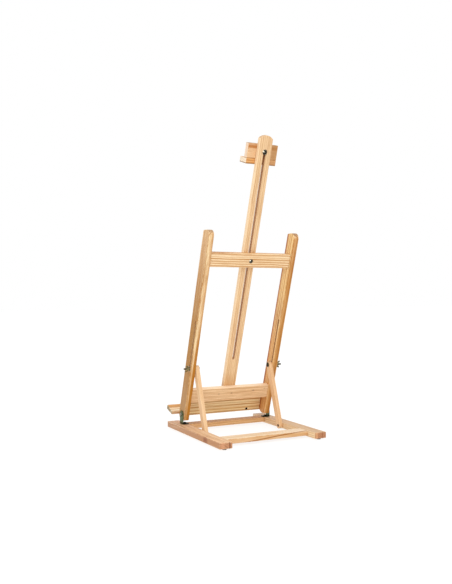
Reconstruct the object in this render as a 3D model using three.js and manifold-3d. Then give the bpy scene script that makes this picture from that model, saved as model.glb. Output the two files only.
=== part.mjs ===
// Tabletop easel: a flat two-rail base, a leaning frame hinged on two steel
// angle brackets, two folding struts that run in slots of the uprights, and a
// sliding mast with a canvas clamp.  Millimetres, +Z up.
// Front (the artist's side) faces -Y, the struts are at the back (+Y) and +X is
// the right-hand side as the artist sees it.  The origin is the centre of the
// bounding box in X and Y, on the surface that the feet stand on.
import * as THREE from 'three';
import { mergeVertices } from 'three/addons/utils/BufferGeometryUtils.js';
import Module from 'manifold-3d';

const wasm = await Module();
wasm.setup();
const { Manifold } = wasm;

// ---------------------------------------------------------------- dimensions
const GAP = 0.3;               // clearance kept between touching pieces

// base
const BASE_W = 300;            // over the outer faces of the rails
const RAIL_L = 320;
const RAIL_W = 34;
const RAIL_H = 15;
const FOOT_D = 10.5;
const FOOT_H = 3;
const FOOT_INSET_Y = 10;       // foot centre from each rail end
const CROSS_T = 12;            // base crossbar thickness, top flush with rails
const FRONT_BAR_Y0 = 37;       // measured from the rails' front ends
const FRONT_BAR_Y1 = 71;
const REAR_BAR_Y0 = 250;
const REAR_BAR_Y1 = 288;
const DOWEL_D = 6;
const DOWEL_L = 30;

// leaning frame: s runs up the frame from the base plane, o runs forward from
// the plane of the uprights' rear faces
const LEAN = 17.7 * Math.PI / 180;
const LEAN_Y0 = 59.8;          // where the rear plane meets the rails' underside
const UP_XI = 116.3;           // inner face of an upright
const UP_XO = 131.3;           // outer face
const UP_D = 34;               // depth, front to back
const UP_Z0 = 25.5;            // both ends are cut level when the frame stands
const UP_Z1 = 522;             // at its lean; heights above the rails' underside
const UP_R_TOP = 14;           // rounding of the rear top corner
const UP_R_BOTTOM = 15;        // rounding of the front bottom corner
const SLOT_O = 8;              // slot centre line from the rear face
const SLOT_W = 6.4;
const SLOT_S0 = 168.6;
const SLOT_S1 = 305.6;
const PIVOT_S = 38.5;          // frame hinge in frame coordinates
const PIVOT_O = 14.5;
const BAR_T = 14;              // upper and lower crossbars of the frame
const BAR_H = 37;
const BAR_O = 2.5;             // their rear faces, set in from the uprights' rear
const UPPER_S = 450.2;
const LOWER_S = 76.3;
const TENON_L = 9;
const TENON_T = 8;
const TENON_H = 25;
const LEDGE_HALF = 125;        // ledge board across the uprights' front faces
const LEDGE_S0 = 22.5;
const LEDGE_S1 = 92.5;
const LEDGE_T = 11;
const TRAY_SCREW_X = { left: -76, right: 56 };   // screws through the ledge board into the tray
const TRAY_HALF = 147;
const TRAY_S0 = 24;
const TRAY_FLOOR = 32.8;
const TRAY_LIP = 36.2;
const TRAY_D = 36;
const TRAY_LIP_W = 11.5;

// mast and clamp
const MAST_HALF = 18;
const MAST_T = 12;
const MAST_O = 16.9;           // rear face of the mast
const MAST_S0 = 84;
const MAST_SHOULDER = 777;
const MAST_TOP = 785.4;
const MAST_SLOT_W = 7.2;
const MAST_SLOT_S0 = 189;
const MAST_SLOT_S1 = 747.5;
const MAST_BOLT_S = 467.4;
const CLAMP_HALF = 42.5;
const CLAMP_BOLT_S = 744;
const CLAMP_T = 13.5;
const CLAMP_S0 = 725.6;
const CLAMP_S1 = 762.4;
const LIP_S0 = 711.2;
const LIP_D = 34;

// struts
const STRUT_W = 16.5;
const STRUT_T = 10;
const STRUT_X1 = 115.6;        // outer face of a strut (towards the upright)
const STRUT_PIVOT_Y = 159;     // from the rails' front ends
const STRUT_PIVOT_Z = 8;       // above the rails' underside
const STRUT_BOLT_S = 172.4;    // its bolt on the slot line, in frame coordinates

// M5 hardware
const BOLT_D = 5;
const HEAD_D = 13.4;           // clamp bolt and strut bolts
const MAST_HEAD_D = 11.2;
const HEAD_H = 3.2;
const WASHER_D = 13;
const WASHER_T = 1;

// bracket
const BR_T = 2;
const BR_W = 19.4;
const EAR_TOP = 51;

// ------------------------------------------------------------------- placing
const sinL = Math.sin(LEAN), cosL = Math.cos(LEAN);
const leanY = (s, o) => LEAN_Y0 + s * sinL - o * cosL;
const leanZ = (s, o) => s * cosL + o * sinL;
const LEDGE_O = UP_D + GAP;
const TRAY_O = LEDGE_O + LEDGE_T + GAP;
const FRONT_Y = leanY(TRAY_S0, TRAY_O + TRAY_D);      // front-most edge (tray)
const SHIFT_Y = -(RAIL_L + FRONT_Y) / 2;
const SHIFT_Z = FOOT_H + GAP;

const PIVOT_Y = leanY(PIVOT_S, PIVOT_O);
const PIVOT_Z = leanZ(PIVOT_S, PIVOT_O);
const BOLT_Y = leanY(STRUT_BOLT_S, SLOT_O);
const BOLT_Z = leanZ(STRUT_BOLT_S, SLOT_O);
const STRUT_LEN = Math.hypot(BOLT_Y - STRUT_PIVOT_Y, BOLT_Z - STRUT_PIVOT_Z);
const STRUT_LEAN = Math.atan2(STRUT_PIVOT_Y - BOLT_Y, BOLT_Z - STRUT_PIVOT_Z);

// ------------------------------------------------------------------- helpers
function closed(geo) {
  const g = geo.clone();
  g.deleteAttribute('normal');
  g.deleteAttribute('uv');
  const m = mergeVertices(g, 1e-4);
  const p = m.attributes.position, ix = Array.from(m.index.array), keep = [];
  let v = 0;
  for (let i = 0; i < ix.length; i += 3) {
    const [a, b, c] = [ix[i], ix[i + 1], ix[i + 2]];
    if (a === b || b === c || a === c) continue;
    keep.push(a, b, c);
    const A = new THREE.Vector3().fromBufferAttribute(p, a);
    const B = new THREE.Vector3().fromBufferAttribute(p, b);
    const C = new THREE.Vector3().fromBufferAttribute(p, c);
    v += A.dot(B.cross(C));
  }
  if (v < 0) for (let i = 0; i < keep.length; i += 3) [keep[i + 1], keep[i + 2]] = [keep[i + 2], keep[i + 1]];
  m.setIndex(keep);
  return m;
}
function solid(geo) {
  const m = closed(geo);
  return new Manifold(new wasm.Mesh({
    numProp: 3,
    vertProperties: new Float32Array(m.attributes.position.array),
    triVerts: new Uint32Array(m.index.array),
  }));
}
function geometry(man) {
  const mesh = man.getMesh();
  const n = mesh.numProp, count = mesh.vertProperties.length / n;
  const pos = new Float32Array(count * 3);
  for (let i = 0; i < count; i++) for (let k = 0; k < 3; k++) pos[3 * i + k] = mesh.vertProperties[n * i + k];
  const g = new THREE.BufferGeometry();
  g.setAttribute('position', new THREE.BufferAttribute(pos, 3));
  g.setIndex(Array.from(mesh.triVerts));
  g.computeVertexNormals();
  return g;
}
const box = (x0, x1, y0, y1, z0, z1) => {
  const g = new THREE.BoxGeometry(x1 - x0, y1 - y0, z1 - z0);
  g.translate((x0 + x1) / 2, (y0 + y1) / 2, (z0 + z1) / 2);
  return g;
};
// a cylinder of radius r along axis 'x', 'y' or 'z', from a to b
function rod(axis, r, a, b, u, v, seg = 16) {
  const g = new THREE.CylinderGeometry(r, r, b - a, seg);
  if (axis === 'x') { g.rotateZ(Math.PI / 2); g.translate((a + b) / 2, u, v); }
  if (axis === 'y') g.translate(u, (a + b) / 2, v);
  if (axis === 'z') { g.rotateX(Math.PI / 2); g.translate(u, v, (a + b) / 2); }
  return g;
}
function cut(geo, ...tools) {
  let m = solid(geo);
  for (const t of tools) m = m.subtract(solid(t));
  return geometry(m);
}
function join(...parts) {
  let m = solid(parts[0]);
  for (const t of parts.slice(1)) m = m.add(solid(t));
  return geometry(m);
}
function stadium(shape, cx, s0, s1, r) {        // closed outline with round ends
  shape.moveTo(cx + r, s0 + r);
  shape.lineTo(cx + r, s1 - r);
  shape.absarc(cx, s1 - r, r, 0, Math.PI, false);
  shape.lineTo(cx - r, s0 + r);
  shape.absarc(cx, s0 + r, r, Math.PI, 2 * Math.PI, false);
  return shape;
}
// closed outline through corners [u, v, radius, steps], each corner rounded
function rounded(corners) {
  const shape = new THREE.Shape(), n = corners.length;
  corners.forEach(([u, v, r, steps], i) => {
    const P = new THREE.Vector2(u, v);
    const A = new THREE.Vector2(...corners[(i + n - 1) % n].slice(0, 2)).sub(P).normalize();
    const B = new THREE.Vector2(...corners[(i + 1) % n].slice(0, 2)).sub(P).normalize();
    const half = Math.acos(A.dot(B)) / 2;
    const C = A.clone().add(B).normalize().multiplyScalar(r / Math.sin(half)).add(P);
    const a = A.clone().multiplyScalar(r / Math.tan(half)).add(P).sub(C);
    const b = B.clone().multiplyScalar(r / Math.tan(half)).add(P).sub(C);
    const turn = Math.atan2(a.x * b.y - a.y * b.x, a.dot(b));
    for (let k = 0; k <= steps; k++) {
      const t = turn * k / steps, x = C.x + a.x * Math.cos(t) - a.y * Math.sin(t), y = C.y + a.x * Math.sin(t) + a.y * Math.cos(t);
      if (i === 0 && k === 0) shape.moveTo(x, y); else shape.lineTo(x, y);
    }
  });
  shape.closePath();
  return shape;
}
// extrude an outline drawn in (y, z) along X, from x0 to x1
function alongX(shape, x0, x1, curve = 8) {
  const g = new THREE.ExtrudeGeometry(shape, { depth: x1 - x0, bevelEnabled: false, curveSegments: curve });
  g.rotateY(Math.PI / 2);                       // (u, v, w) -> (w, v, -u)
  g.rotateX(Math.PI / 2);                       // -> (w, u, v)
  g.translate(x0, 0, 0);
  return g;
}
// extrude an outline drawn in (x, z) along Y, from y0 to y1
function alongY(shape, y0, y1, curve = 8) {
  const g = new THREE.ExtrudeGeometry(shape, { depth: y1 - y0, bevelEnabled: false, curveSegments: curve });
  g.rotateX(Math.PI / 2);                       // (u, v, w) -> (u, -w, v)
  g.translate(0, y1, 0);
  return g;
}

const wood = (c) => new THREE.MeshStandardMaterial({ color: c, roughness: 0.62, metalness: 0 });
const steel = (c, r) => new THREE.MeshStandardMaterial({ color: c, roughness: r, metalness: 1 });
const PINE = 0xe9c08a, PINE_PALE = 0xf1d3a3, PINE_BASE = 0xe3b58a, BEECH = 0xd8b07c;
const ZINC = 0x8c8f7c, POLISHED = 0xb9b4a6, BRONZE = 0x6a5b45;

const easel = new THREE.Group();
const world = new THREE.Group();
world.position.set(0, SHIFT_Y, SHIFT_Z);
easel.add(world);
const leaning = new THREE.Group();              // local y = -o, local z = s
leaning.position.set(0, LEAN_Y0, 0);
leaning.rotation.x = -LEAN;
world.add(leaning);

function add(parent, name, geo, material) {
  const m = new THREE.Mesh(geo, material);
  m.name = name;
  parent.add(m);
  return m;
}

// ---------------------------------------------------------------------- base
const SIDES = [['left', -1], ['right', 1]];     // left is -X
const railXi = BASE_W / 2 - RAIL_W;
const dowelX0 = railXi - 15, dowelX1 = dowelX0 + DOWEL_L;
const barSets = [['front', FRONT_BAR_Y0, FRONT_BAR_Y1], ['rear', REAR_BAR_Y0, REAR_BAR_Y1]];
const dowelZ = RAIL_H - CROSS_T / 2;
const dowelY = (y0, y1, k) => (y0 + y1) / 2 + (k ? 9 : -9);
for (const [side, q] of SIDES) {
  // rail with rounded vertical corners at both ends
  const r = 3, x0 = railXi, x1 = BASE_W / 2;
  const outline = new THREE.Shape();
  outline.moveTo(x0 + r, 0); outline.lineTo(x1 - r, 0);
  outline.absarc(x1 - r, r, r, -Math.PI / 2, 0, false);
  outline.lineTo(x1, RAIL_L - r);
  outline.absarc(x1 - r, RAIL_L - r, r, 0, Math.PI / 2, false);
  outline.lineTo(x0 + r, RAIL_L);
  outline.absarc(x0 + r, RAIL_L - r, r, Math.PI / 2, Math.PI, false);
  outline.lineTo(x0, r);
  outline.absarc(x0 + r, r, r, Math.PI, 1.5 * Math.PI, false);
  const g = new THREE.ExtrudeGeometry(outline, { depth: RAIL_H, bevelEnabled: false, curveSegments: 3 });
  const cuts = [];
  for (const [, y0, y1] of barSets) for (const k of [0, 1])
    cuts.push(rod('x', DOWEL_D / 2 + GAP, railXi - 1, dowelX1 + 0.5, dowelY(y0, y1, k), dowelZ, 12));
  cuts.push(rod('z', 1.75 + GAP, RAIL_H - 12.5, RAIL_H + 1, 123.5, PIVOT_Y, 10));            // bracket screw
  cuts.push(rod('x', 2 + GAP, railXi - 1, railXi + 16.5, STRUT_PIVOT_Y, STRUT_PIVOT_Z, 10)); // strut pivot
  const rail = cut(g, ...cuts);
  if (q < 0) rail.applyMatrix4(new THREE.Matrix4().makeScale(-1, 1, 1));
  add(world, `rail_${side}`, closed(rail), wood(PINE_BASE));
}
for (const [name, y0, y1] of barSets) {
  const h = railXi - GAP;
  const tools = [];
  for (const q of [-1, 1]) for (const k of [0, 1])
    tools.push(rod('x', DOWEL_D / 2 + GAP, q < 0 ? -h - 1 : dowelX0 - 0.5, q < 0 ? -dowelX0 + 0.5 : h + 1, dowelY(y0, y1, k), dowelZ, 12));
  add(world, `base_crossbar_${name}`, cut(box(-h, h, y0, y1, RAIL_H - CROSS_T, RAIL_H), ...tools), wood(name === 'rear' ? PINE : PINE_BASE));
  for (const [side, q] of SIDES) for (const k of [0, 1]) {
    const a = q < 0 ? -dowelX1 : dowelX0, b = q < 0 ? -dowelX0 : dowelX1;
    add(world, `dowel_${name}_${side}_${k + 1}`, closed(rod('x', DOWEL_D / 2, a, b, dowelY(y0, y1, k), dowelZ, 12)), wood(BEECH));
  }
}
for (const [side, q] of SIDES) for (const [end, y] of [['front', FOOT_INSET_Y], ['rear', RAIL_L - FOOT_INSET_Y]])
  add(world, `foot_${end}_${side}`, closed(rod('z', FOOT_D / 2, -GAP - FOOT_H, -GAP, q * (BASE_W / 2 - RAIL_W / 2), y, 16)),
    new THREE.MeshStandardMaterial({ color: 0x6f6e6c, roughness: 0.85 }));

// ------------------------------------------------------------ angle brackets
for (const [side, q] of SIDES) {
  const xe = UP_XO + GAP, z0 = RAIL_H + GAP, yc = PIVOT_Y, w = BR_W / 2;
  const ear = new THREE.Shape();
  ear.moveTo(yc - w, z0); ear.lineTo(yc + w, z0); ear.lineTo(yc + w, EAR_TOP - w);
  ear.absarc(yc, EAR_TOP - w, w, 0, Math.PI, false);
  ear.lineTo(yc - w, z0);
  const plate = alongX(ear, xe, xe + BR_T, 8);
  const leg = box(115.5, xe + BR_T / 2, yc - w, yc + w, z0, z0 + BR_T);
  let m = solid(plate).add(solid(leg));
  m = m.subtract(solid(rod('x', 2.5 + GAP, xe - 1, xe + BR_T + 1, PIVOT_Y, PIVOT_Z, 14)));
  m = m.subtract(solid(rod('z', 1.75 + GAP, z0 - 1, z0 + BR_T + 1, 123.5, PIVOT_Y, 10)));
  const g = geometry(m);
  // pan-head screw down through the leg into the rail
  const s = join(rod('z', 4.2, z0 + BR_T + GAP, z0 + BR_T + GAP + 2.6, 123.5, PIVOT_Y, 16), rod('z', 1.75, RAIL_H - 12, z0 + BR_T + 1, 123.5, PIVOT_Y, 10));
  // pivot screw: head outside the ear, shank into the upright
  const p = join(rod('x', 4.5, xe + BR_T + GAP, xe + BR_T + GAP + 2.6, PIVOT_Y, PIVOT_Z, 16), rod('x', 2.5, UP_XI + 2, xe + BR_T + 1, PIVOT_Y, PIVOT_Z, 14));
  // strut pivot screw: head in the strut's inner face, shank into the rail
  const t = join(rod('x', 3.6, STRUT_X1 - STRUT_T - 0.2, STRUT_X1 - STRUT_T + 2, STRUT_PIVOT_Y, STRUT_PIVOT_Z, 14), rod('x', 2, STRUT_X1 - STRUT_T + 1, railXi + 16, STRUT_PIVOT_Y, STRUT_PIVOT_Z, 10));
  for (const h of [g, s, p, t]) if (q < 0) h.applyMatrix4(new THREE.Matrix4().makeScale(-1, 1, 1));
  add(world, `bracket_${side}`, closed(g), steel(ZINC, 0.4));
  add(world, `bracket_screw_${side}`, closed(s), steel(0x3a3833, 0.45));
  add(world, `pivot_screw_${side}`, closed(p), steel(ZINC, 0.35));
  add(world, `strut_pivot_screw_${side}`, closed(t), steel(0x4a4238, 0.5));
}

// ------------------------------------------------------------- leaning frame
// uprights: level-cut ends, slot near the rear edge, mortises for the bars
for (const [side, q] of SIDES) {
  const level = (z, o) => (z - o * sinL) / cosL;
  const outline = rounded([
    [0, level(UP_Z0, 0), 2, 3], [0, level(UP_Z1, 0), UP_R_TOP, 8],
    [-UP_D, level(UP_Z1, UP_D), 3, 3], [-UP_D, level(UP_Z0, UP_D), UP_R_BOTTOM, 9]]);
  outline.holes.push(stadium(new THREE.Path(), -SLOT_O, SLOT_S0, SLOT_S1, SLOT_W / 2));
  const blank = alongX(outline, UP_XI, UP_XO, 8);
  const c = BAR_O + BAR_T / 2, g = GAP;
  const mort = (s) => box(UP_XI - 1, UP_XI + TENON_L + 0.6, -(c + TENON_T / 2 + g), -(c - TENON_T / 2 - g), s + (BAR_H - TENON_H) / 2 - g, s + (BAR_H + TENON_H) / 2 + g);
  const tools = [mort(UPPER_S), mort(LOWER_S), rod('x', 2.5 + GAP, UP_XI + 1.6, UP_XO + 1, -PIVOT_O, PIVOT_S, 14)];
  for (const s of [50, 68]) tools.push(rod('y', 1.75 + GAP, -UP_D - 1, -UP_D + 14.5, UP_XI + 3.8, s, 10));
  const up = cut(blank, ...tools);
  if (q < 0) up.applyMatrix4(new THREE.Matrix4().makeScale(-1, 1, 1));
  add(leaning, `upright_${side}`, closed(up), wood(PINE_PALE));
}
function frameBar(s, tools = []) {
  const h = UP_XI - GAP, c = BAR_O + BAR_T / 2;
  const body = box(-h, h, -(BAR_O + BAR_T), -BAR_O, s, s + BAR_H);
  const tenon = box(-UP_XI - TENON_L, UP_XI + TENON_L, -(c + TENON_T / 2), -(c - TENON_T / 2), s + (BAR_H - TENON_H) / 2, s + (BAR_H + TENON_H) / 2);
  let m = solid(body).add(solid(tenon));
  for (const t of tools) m = m.subtract(solid(t));
  return geometry(m);
}
add(leaning, 'crossbar_upper', frameBar(UPPER_S, [rod('y', BOLT_D / 2 + GAP, -BAR_O - BAR_T - 1, -BAR_O + 1, 0, MAST_BOLT_S, 14)]), wood(PINE));
add(leaning, 'crossbar_lower', frameBar(LOWER_S), wood(PINE));

// ledge board across the uprights, with screws into them
{
  const tools = [];
  for (const q of [-1, 1]) {
    for (const s of [50, 68]) {
      tools.push(rod('y', 1.75 + GAP, -LEDGE_O - LEDGE_T - 1, -LEDGE_O + 1, q * (UP_XI + 3.8), s, 10));
      tools.push(rod('y', 3.6 + GAP, -LEDGE_O - LEDGE_T - 1, -LEDGE_O - LEDGE_T + 2.6, q * (UP_XI + 3.8), s, 14));
    }
  }
  for (const x of Object.values(TRAY_SCREW_X)) {
    tools.push(rod('y', 1.75 + GAP, -LEDGE_O - LEDGE_T - 1, -LEDGE_O + 1, x, 28.4, 10));
    tools.push(rod('y', 3.4 + GAP, -LEDGE_O - 2.6, -LEDGE_O + 1, x, 28.4, 14));
  }
  add(leaning, 'ledge_board', cut(box(-LEDGE_HALF, LEDGE_HALF, -LEDGE_O - LEDGE_T, -LEDGE_O, LEDGE_S0, LEDGE_S1), ...tools), wood(PINE));
}
for (const [side, q] of SIDES) {
  [50, 68].forEach((s, i) => {
    const g = join(rod('y', 3.6, -LEDGE_O - LEDGE_T, -LEDGE_O - LEDGE_T + 2.2, q * (UP_XI + 3.8), s, 14), rod('y', 1.75, -LEDGE_O - LEDGE_T + 1, -UP_D + 14, q * (UP_XI + 3.8), s, 10));
    add(leaning, `ledge_screw_${side}_${i + 1}`, g, steel(0x7d7a70, 0.4));
  });
  const t = join(rod('y', 3.4, -LEDGE_O - 2.3, -LEDGE_O - 0.4, TRAY_SCREW_X[side], 28.4, 14), rod('y', 1.75, -TRAY_O - 15, -LEDGE_O - 1, TRAY_SCREW_X[side], 28.4, 10));
  add(leaning, `tray_screw_${side}`, t, steel(0x4a4238, 0.5));
  add(leaning, `mast_guide_${side}`, closed(box(q < 0 ? -30 : MAST_HALF + 0.6, q < 0 ? -MAST_HALF - 0.6 : 30, -UP_D + 0.1, -BAR_O - BAR_T - GAP, LOWER_S + 1, LOWER_S + 24)), wood(PINE));
}
// canvas tray: floor with a raised front lip
{
  const y0 = -TRAY_O, y1 = -TRAY_O - TRAY_D, l = y1 + TRAY_LIP_W;
  const p = new THREE.Shape();
  p.moveTo(y0, TRAY_S0); p.lineTo(y0, TRAY_FLOOR); p.lineTo(l + 1.6, TRAY_FLOOR); p.lineTo(l, TRAY_LIP);
  p.lineTo(y1 + 2, TRAY_LIP); p.lineTo(y1, TRAY_LIP - 2); p.lineTo(y1, TRAY_S0); p.lineTo(y0, TRAY_S0);
  const bores = Object.values(TRAY_SCREW_X).map((x) => rod('y', 1.75 + GAP, -TRAY_O - 15.5, -TRAY_O + 1, x, 28.4, 10));
  add(leaning, 'canvas_tray', cut(alongX(p, -TRAY_HALF, TRAY_HALF), ...bores), wood(PINE));
}

// ---------------------------------------------------------------------- mast
{
  const m = new THREE.Shape();
  m.moveTo(-MAST_HALF, MAST_S0); m.lineTo(MAST_HALF, MAST_S0); m.lineTo(MAST_HALF, MAST_SHOULDER);
  const n = 10, h = MAST_TOP - MAST_SHOULDER, R = (MAST_HALF ** 2 + h ** 2) / (2 * h), a = Math.asin(MAST_HALF / R);
  for (let i = 1; i < n; i++) { const t = a - (2 * a * i) / n; m.lineTo(R * Math.sin(t), MAST_TOP - R + R * Math.cos(t)); }
  m.lineTo(-MAST_HALF, MAST_SHOULDER); m.lineTo(-MAST_HALF, MAST_S0);
  m.holes.push(stadium(new THREE.Path(), 0, MAST_SLOT_S0, MAST_SLOT_S1, MAST_SLOT_W / 2));
  add(leaning, 'mast', closed(alongY(m, -MAST_O - MAST_T, -MAST_O, 6)), wood(PINE_PALE));
}

// ------------------------------------------------------------ turned hardware
// domed carriage bolt: head above z = 0, shank of length len below it
function carriageBolt(len, D = HEAD_D) {
  const pts = [new THREE.Vector2(0, -len), new THREE.Vector2(BOLT_D / 2, -len), new THREE.Vector2(BOLT_D / 2, 0), new THREE.Vector2(D / 2, 0)];
  for (const t of [0.25, 0.5, 0.72, 0.88]) pts.push(new THREE.Vector2(D / 2 * Math.cos(t * Math.PI / 2), HEAD_H * Math.sin(t * Math.PI / 2)));
  pts.push(new THREE.Vector2(0, HEAD_H));
  const g = new THREE.LatheGeometry(pts, 16);
  g.rotateX(Math.PI / 2);
  return closed(g);
}
function washer() {
  return cut(rod('z', WASHER_D / 2, 0, WASHER_T, 0, 0, 20), rod('z', BOLT_D / 2 + GAP, -1, WASHER_T + 1, 0, 0, 16));
}
// wing nut standing on z = 0, wings along local x
function wingNut() {
  const hub = new THREE.LatheGeometry([[0, 0], [5.2, 0], [5.2, 1], [4.1, 6.6], [0, 6.6]].map(([x, y]) => new THREE.Vector2(x, y)), 16);
  hub.rotateX(Math.PI / 2);
  const w = new THREE.Shape();                  // one outline over both wings
  w.moveTo(-4, 1.2); w.lineTo(4, 1.2); w.lineTo(7.8, 3.4); w.lineTo(11, 8); w.lineTo(10.6, 10.6); w.lineTo(8.6, 11.4);
  w.lineTo(6.2, 10); w.lineTo(3.6, 6.2); w.lineTo(-3.6, 6.2); w.lineTo(-6.2, 10); w.lineTo(-8.6, 11.4); w.lineTo(-10.6, 10.6);
  w.lineTo(-11, 8); w.lineTo(-7.8, 3.4); w.lineTo(-4, 1.2);
  const wings = alongY(w, -1.2, 1.2);
  return geometry(solid(hub).add(solid(wings)).subtract(solid(rod('z', BOLT_D / 2 + GAP, -1, 9, 0, 0, 16))));
}
// turn a piece whose axis is +Z to point along -Y (forward), +Y, +X or -X
const toForward = (g) => g.rotateX(Math.PI / 2);
const toRear = (g) => g.rotateX(-Math.PI / 2);

function put(parent, name, geo, x, y, z, material) {
  const m = add(parent, name, closed(geo), material);
  m.position.set(x, y, z);
  return m;
}
// mast bolt: head on the rear of the upper crossbar, nut in front of the mast
const mastFront = -(MAST_O + MAST_T);
put(leaning, 'mast_bolt', toRear(carriageBolt(44, MAST_HEAD_D)), 0, -BAR_O + GAP, MAST_BOLT_S, steel(POLISHED, 0.2));
put(leaning, 'mast_washer', toForward(washer()), 0, mastFront - GAP, MAST_BOLT_S, steel(POLISHED, 0.3));
put(leaning, 'wingnut_mast', toForward(wingNut()), 0, mastFront - 2 * GAP - WASHER_T, MAST_BOLT_S, steel(BRONZE, 0.35));

// clamp: plate with a bolt through the mast slot, standing on a projecting lip
{
  const o0 = MAST_O + MAST_T + GAP;
  const bore = rod('y', BOLT_D / 2 + GAP, -o0 - CLAMP_T - 1, -o0 + 1, 0, CLAMP_BOLT_S, 14);
  const pil = (x) => rod('z', 1.75 + GAP, LIP_S0 - 1, CLAMP_S0 + 14.5, x, -o0 - CLAMP_T / 2, 10);
  add(leaning, 'clamp_plate', cut(box(-CLAMP_HALF, CLAMP_HALF, -o0 - CLAMP_T, -o0, CLAMP_S0, CLAMP_S1), bore, pil(-30), pil(30)), wood(PINE));
  const sink = (x) => rod('z', 3.6 + GAP, LIP_S0 - 1, LIP_S0 + 2.6, x, -o0 - CLAMP_T / 2, 14);
  add(leaning, 'clamp_lip', cut(box(-CLAMP_HALF, CLAMP_HALF, -o0 - LIP_D, -o0, LIP_S0, CLAMP_S0 - GAP), pil(-30), pil(30), sink(-30), sink(30)), wood(PINE));
  for (const [side, q] of SIDES)
    add(leaning, `clamp_screw_${side}`, join(rod('z', 3.6, LIP_S0, LIP_S0 + 2.3, q * 30, -o0 - CLAMP_T / 2, 14), rod('z', 1.75, LIP_S0 + 1, CLAMP_S0 + 14, q * 30, -o0 - CLAMP_T / 2, 10)), steel(0x7d7a70, 0.4));
  put(leaning, 'clamp_bolt', toRear(carriageBolt(43)), 0, -MAST_O + GAP, CLAMP_BOLT_S, steel(POLISHED, 0.2));
  put(leaning, 'clamp_washer', toForward(washer()), 0, -o0 - CLAMP_T - GAP, CLAMP_BOLT_S, steel(POLISHED, 0.3));
  put(leaning, 'wingnut_clamp', toForward(wingNut()), 0, -o0 - CLAMP_T - 2 * GAP - WASHER_T, CLAMP_BOLT_S, steel(BRONZE, 0.35));
}

// -------------------------------------------------------------------- struts
// each strut turns on a screw in its rail; its bolt is clamped in the slot of
// the upright by a stud, washer and wing nut on the outside
for (const [side, q] of SIDES) {
  const g = new THREE.Group();
  g.position.set(0, STRUT_PIVOT_Y, STRUT_PIVOT_Z);
  g.rotation.x = STRUT_LEAN;                    // top leans towards the front
  world.add(g);
  const r = STRUT_W / 2;
  const x0 = STRUT_X1 - STRUT_T, x1 = STRUT_X1;
  const body = alongX(stadium(new THREE.Shape(), 0, -r, STRUT_LEN + r, r), x0, x1, 6);
  const strut = cut(body, rod('x', 2 + GAP, x0 - 1, x1 + 1, 0, 0, 12), rod('x', 3.6 + GAP, x0 - 1, x0 + 2.3, 0, 0, 14), rod('x', BOLT_D / 2 + GAP, x0 - 1, x1 + 1, 0, STRUT_LEN, 14));
  if (q < 0) strut.applyMatrix4(new THREE.Matrix4().makeScale(-1, 1, 1));
  add(g, `strut_${side}`, closed(strut), wood(PINE_PALE));
  const b = carriageBolt(STRUT_T + 2 * GAP);    // head on the inner face, ends at the sliding face
  b.rotateY(-Math.PI / 2);                      // head towards -X
  if (q < 0) b.applyMatrix4(new THREE.Matrix4().makeScale(-1, 1, 1));
  put(g, `strut_bolt_${side}`, b, q * (x0 - GAP), 0, STRUT_LEN, steel(0x5c584e, 0.25));
  // the bolt's outer end in the slot, with washer and wing nut
  const slot = new THREE.Group();
  slot.position.set(0, -SLOT_O, STRUT_BOLT_S);
  leaning.add(slot);
  const turn = (h) => { h.rotateY(Math.PI / 2); if (q < 0) h.applyMatrix4(new THREE.Matrix4().makeScale(-1, 1, 1)); return h; };
  const stud = new THREE.CylinderGeometry(BOLT_D / 2, BOLT_D / 2, 30.5, 16);
  stud.rotateX(Math.PI / 2); stud.translate(0, 0, 30.5 / 2);
  put(slot, `strut_stud_${side}`, turn(stud), q * (STRUT_X1 + 2 * GAP), 0, 0, steel(POLISHED, 0.3));
  put(slot, `strut_washer_${side}`, turn(washer()), q * (UP_XO + GAP), 0, 0, steel(POLISHED, 0.3));
  put(slot, `wingnut_${side}`, turn(q > 0 ? wingNut().rotateZ(-0.15) : wingNut()), q * (UP_XO + 2 * GAP + WASHER_T), 0, 0, steel(BRONZE, 0.35));
}

export default easel;
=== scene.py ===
import math
import random

import bpy
import bmesh
from mathutils import Vector, Matrix
from mathutils.geometry import tessellate_polygon


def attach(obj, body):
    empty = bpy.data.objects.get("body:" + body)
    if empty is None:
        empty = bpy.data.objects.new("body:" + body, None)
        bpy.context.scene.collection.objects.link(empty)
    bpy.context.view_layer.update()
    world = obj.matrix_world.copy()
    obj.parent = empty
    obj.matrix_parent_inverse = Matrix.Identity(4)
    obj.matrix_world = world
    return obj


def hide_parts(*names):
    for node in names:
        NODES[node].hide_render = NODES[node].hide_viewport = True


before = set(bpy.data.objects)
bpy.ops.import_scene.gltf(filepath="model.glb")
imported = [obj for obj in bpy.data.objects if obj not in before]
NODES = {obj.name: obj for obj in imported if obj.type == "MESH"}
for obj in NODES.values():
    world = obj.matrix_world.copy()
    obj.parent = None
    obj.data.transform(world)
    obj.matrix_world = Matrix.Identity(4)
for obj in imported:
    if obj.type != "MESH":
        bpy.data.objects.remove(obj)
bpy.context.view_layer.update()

# --------------------------------------------------------------------- camera
cam_data = bpy.data.cameras.new("camera")
cam = bpy.data.objects.new("camera", cam_data)
bpy.context.scene.collection.objects.link(cam)
cam_data.sensor_width = 36.0
cam_data.lens = 709.39 / 584 * 36.0          # the long side is 584 px
cam.location = (0.88838, 1.64049, 0.37036)
cam.rotation_euler = (math.radians(90), 0, math.radians(152.916))
cam_data.clip_start, cam_data.clip_end = 0.02, 200
bpy.context.scene.camera = cam

# ------------------------------------------------------- frame of the CAD, mm
MM = 0.001
SY, SZ = -154.68, 3.3
LEAN = math.radians(17.7)
SL, CL = math.sin(LEAN), math.cos(LEAN)
BASE_X = Vector((1, 0, 0))


def at_base(x, y, z):
    """rail coordinates in mm to the row frame in metres"""
    return Vector((x * MM, (y + SY) * MM, (z + SZ) * MM))


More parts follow.
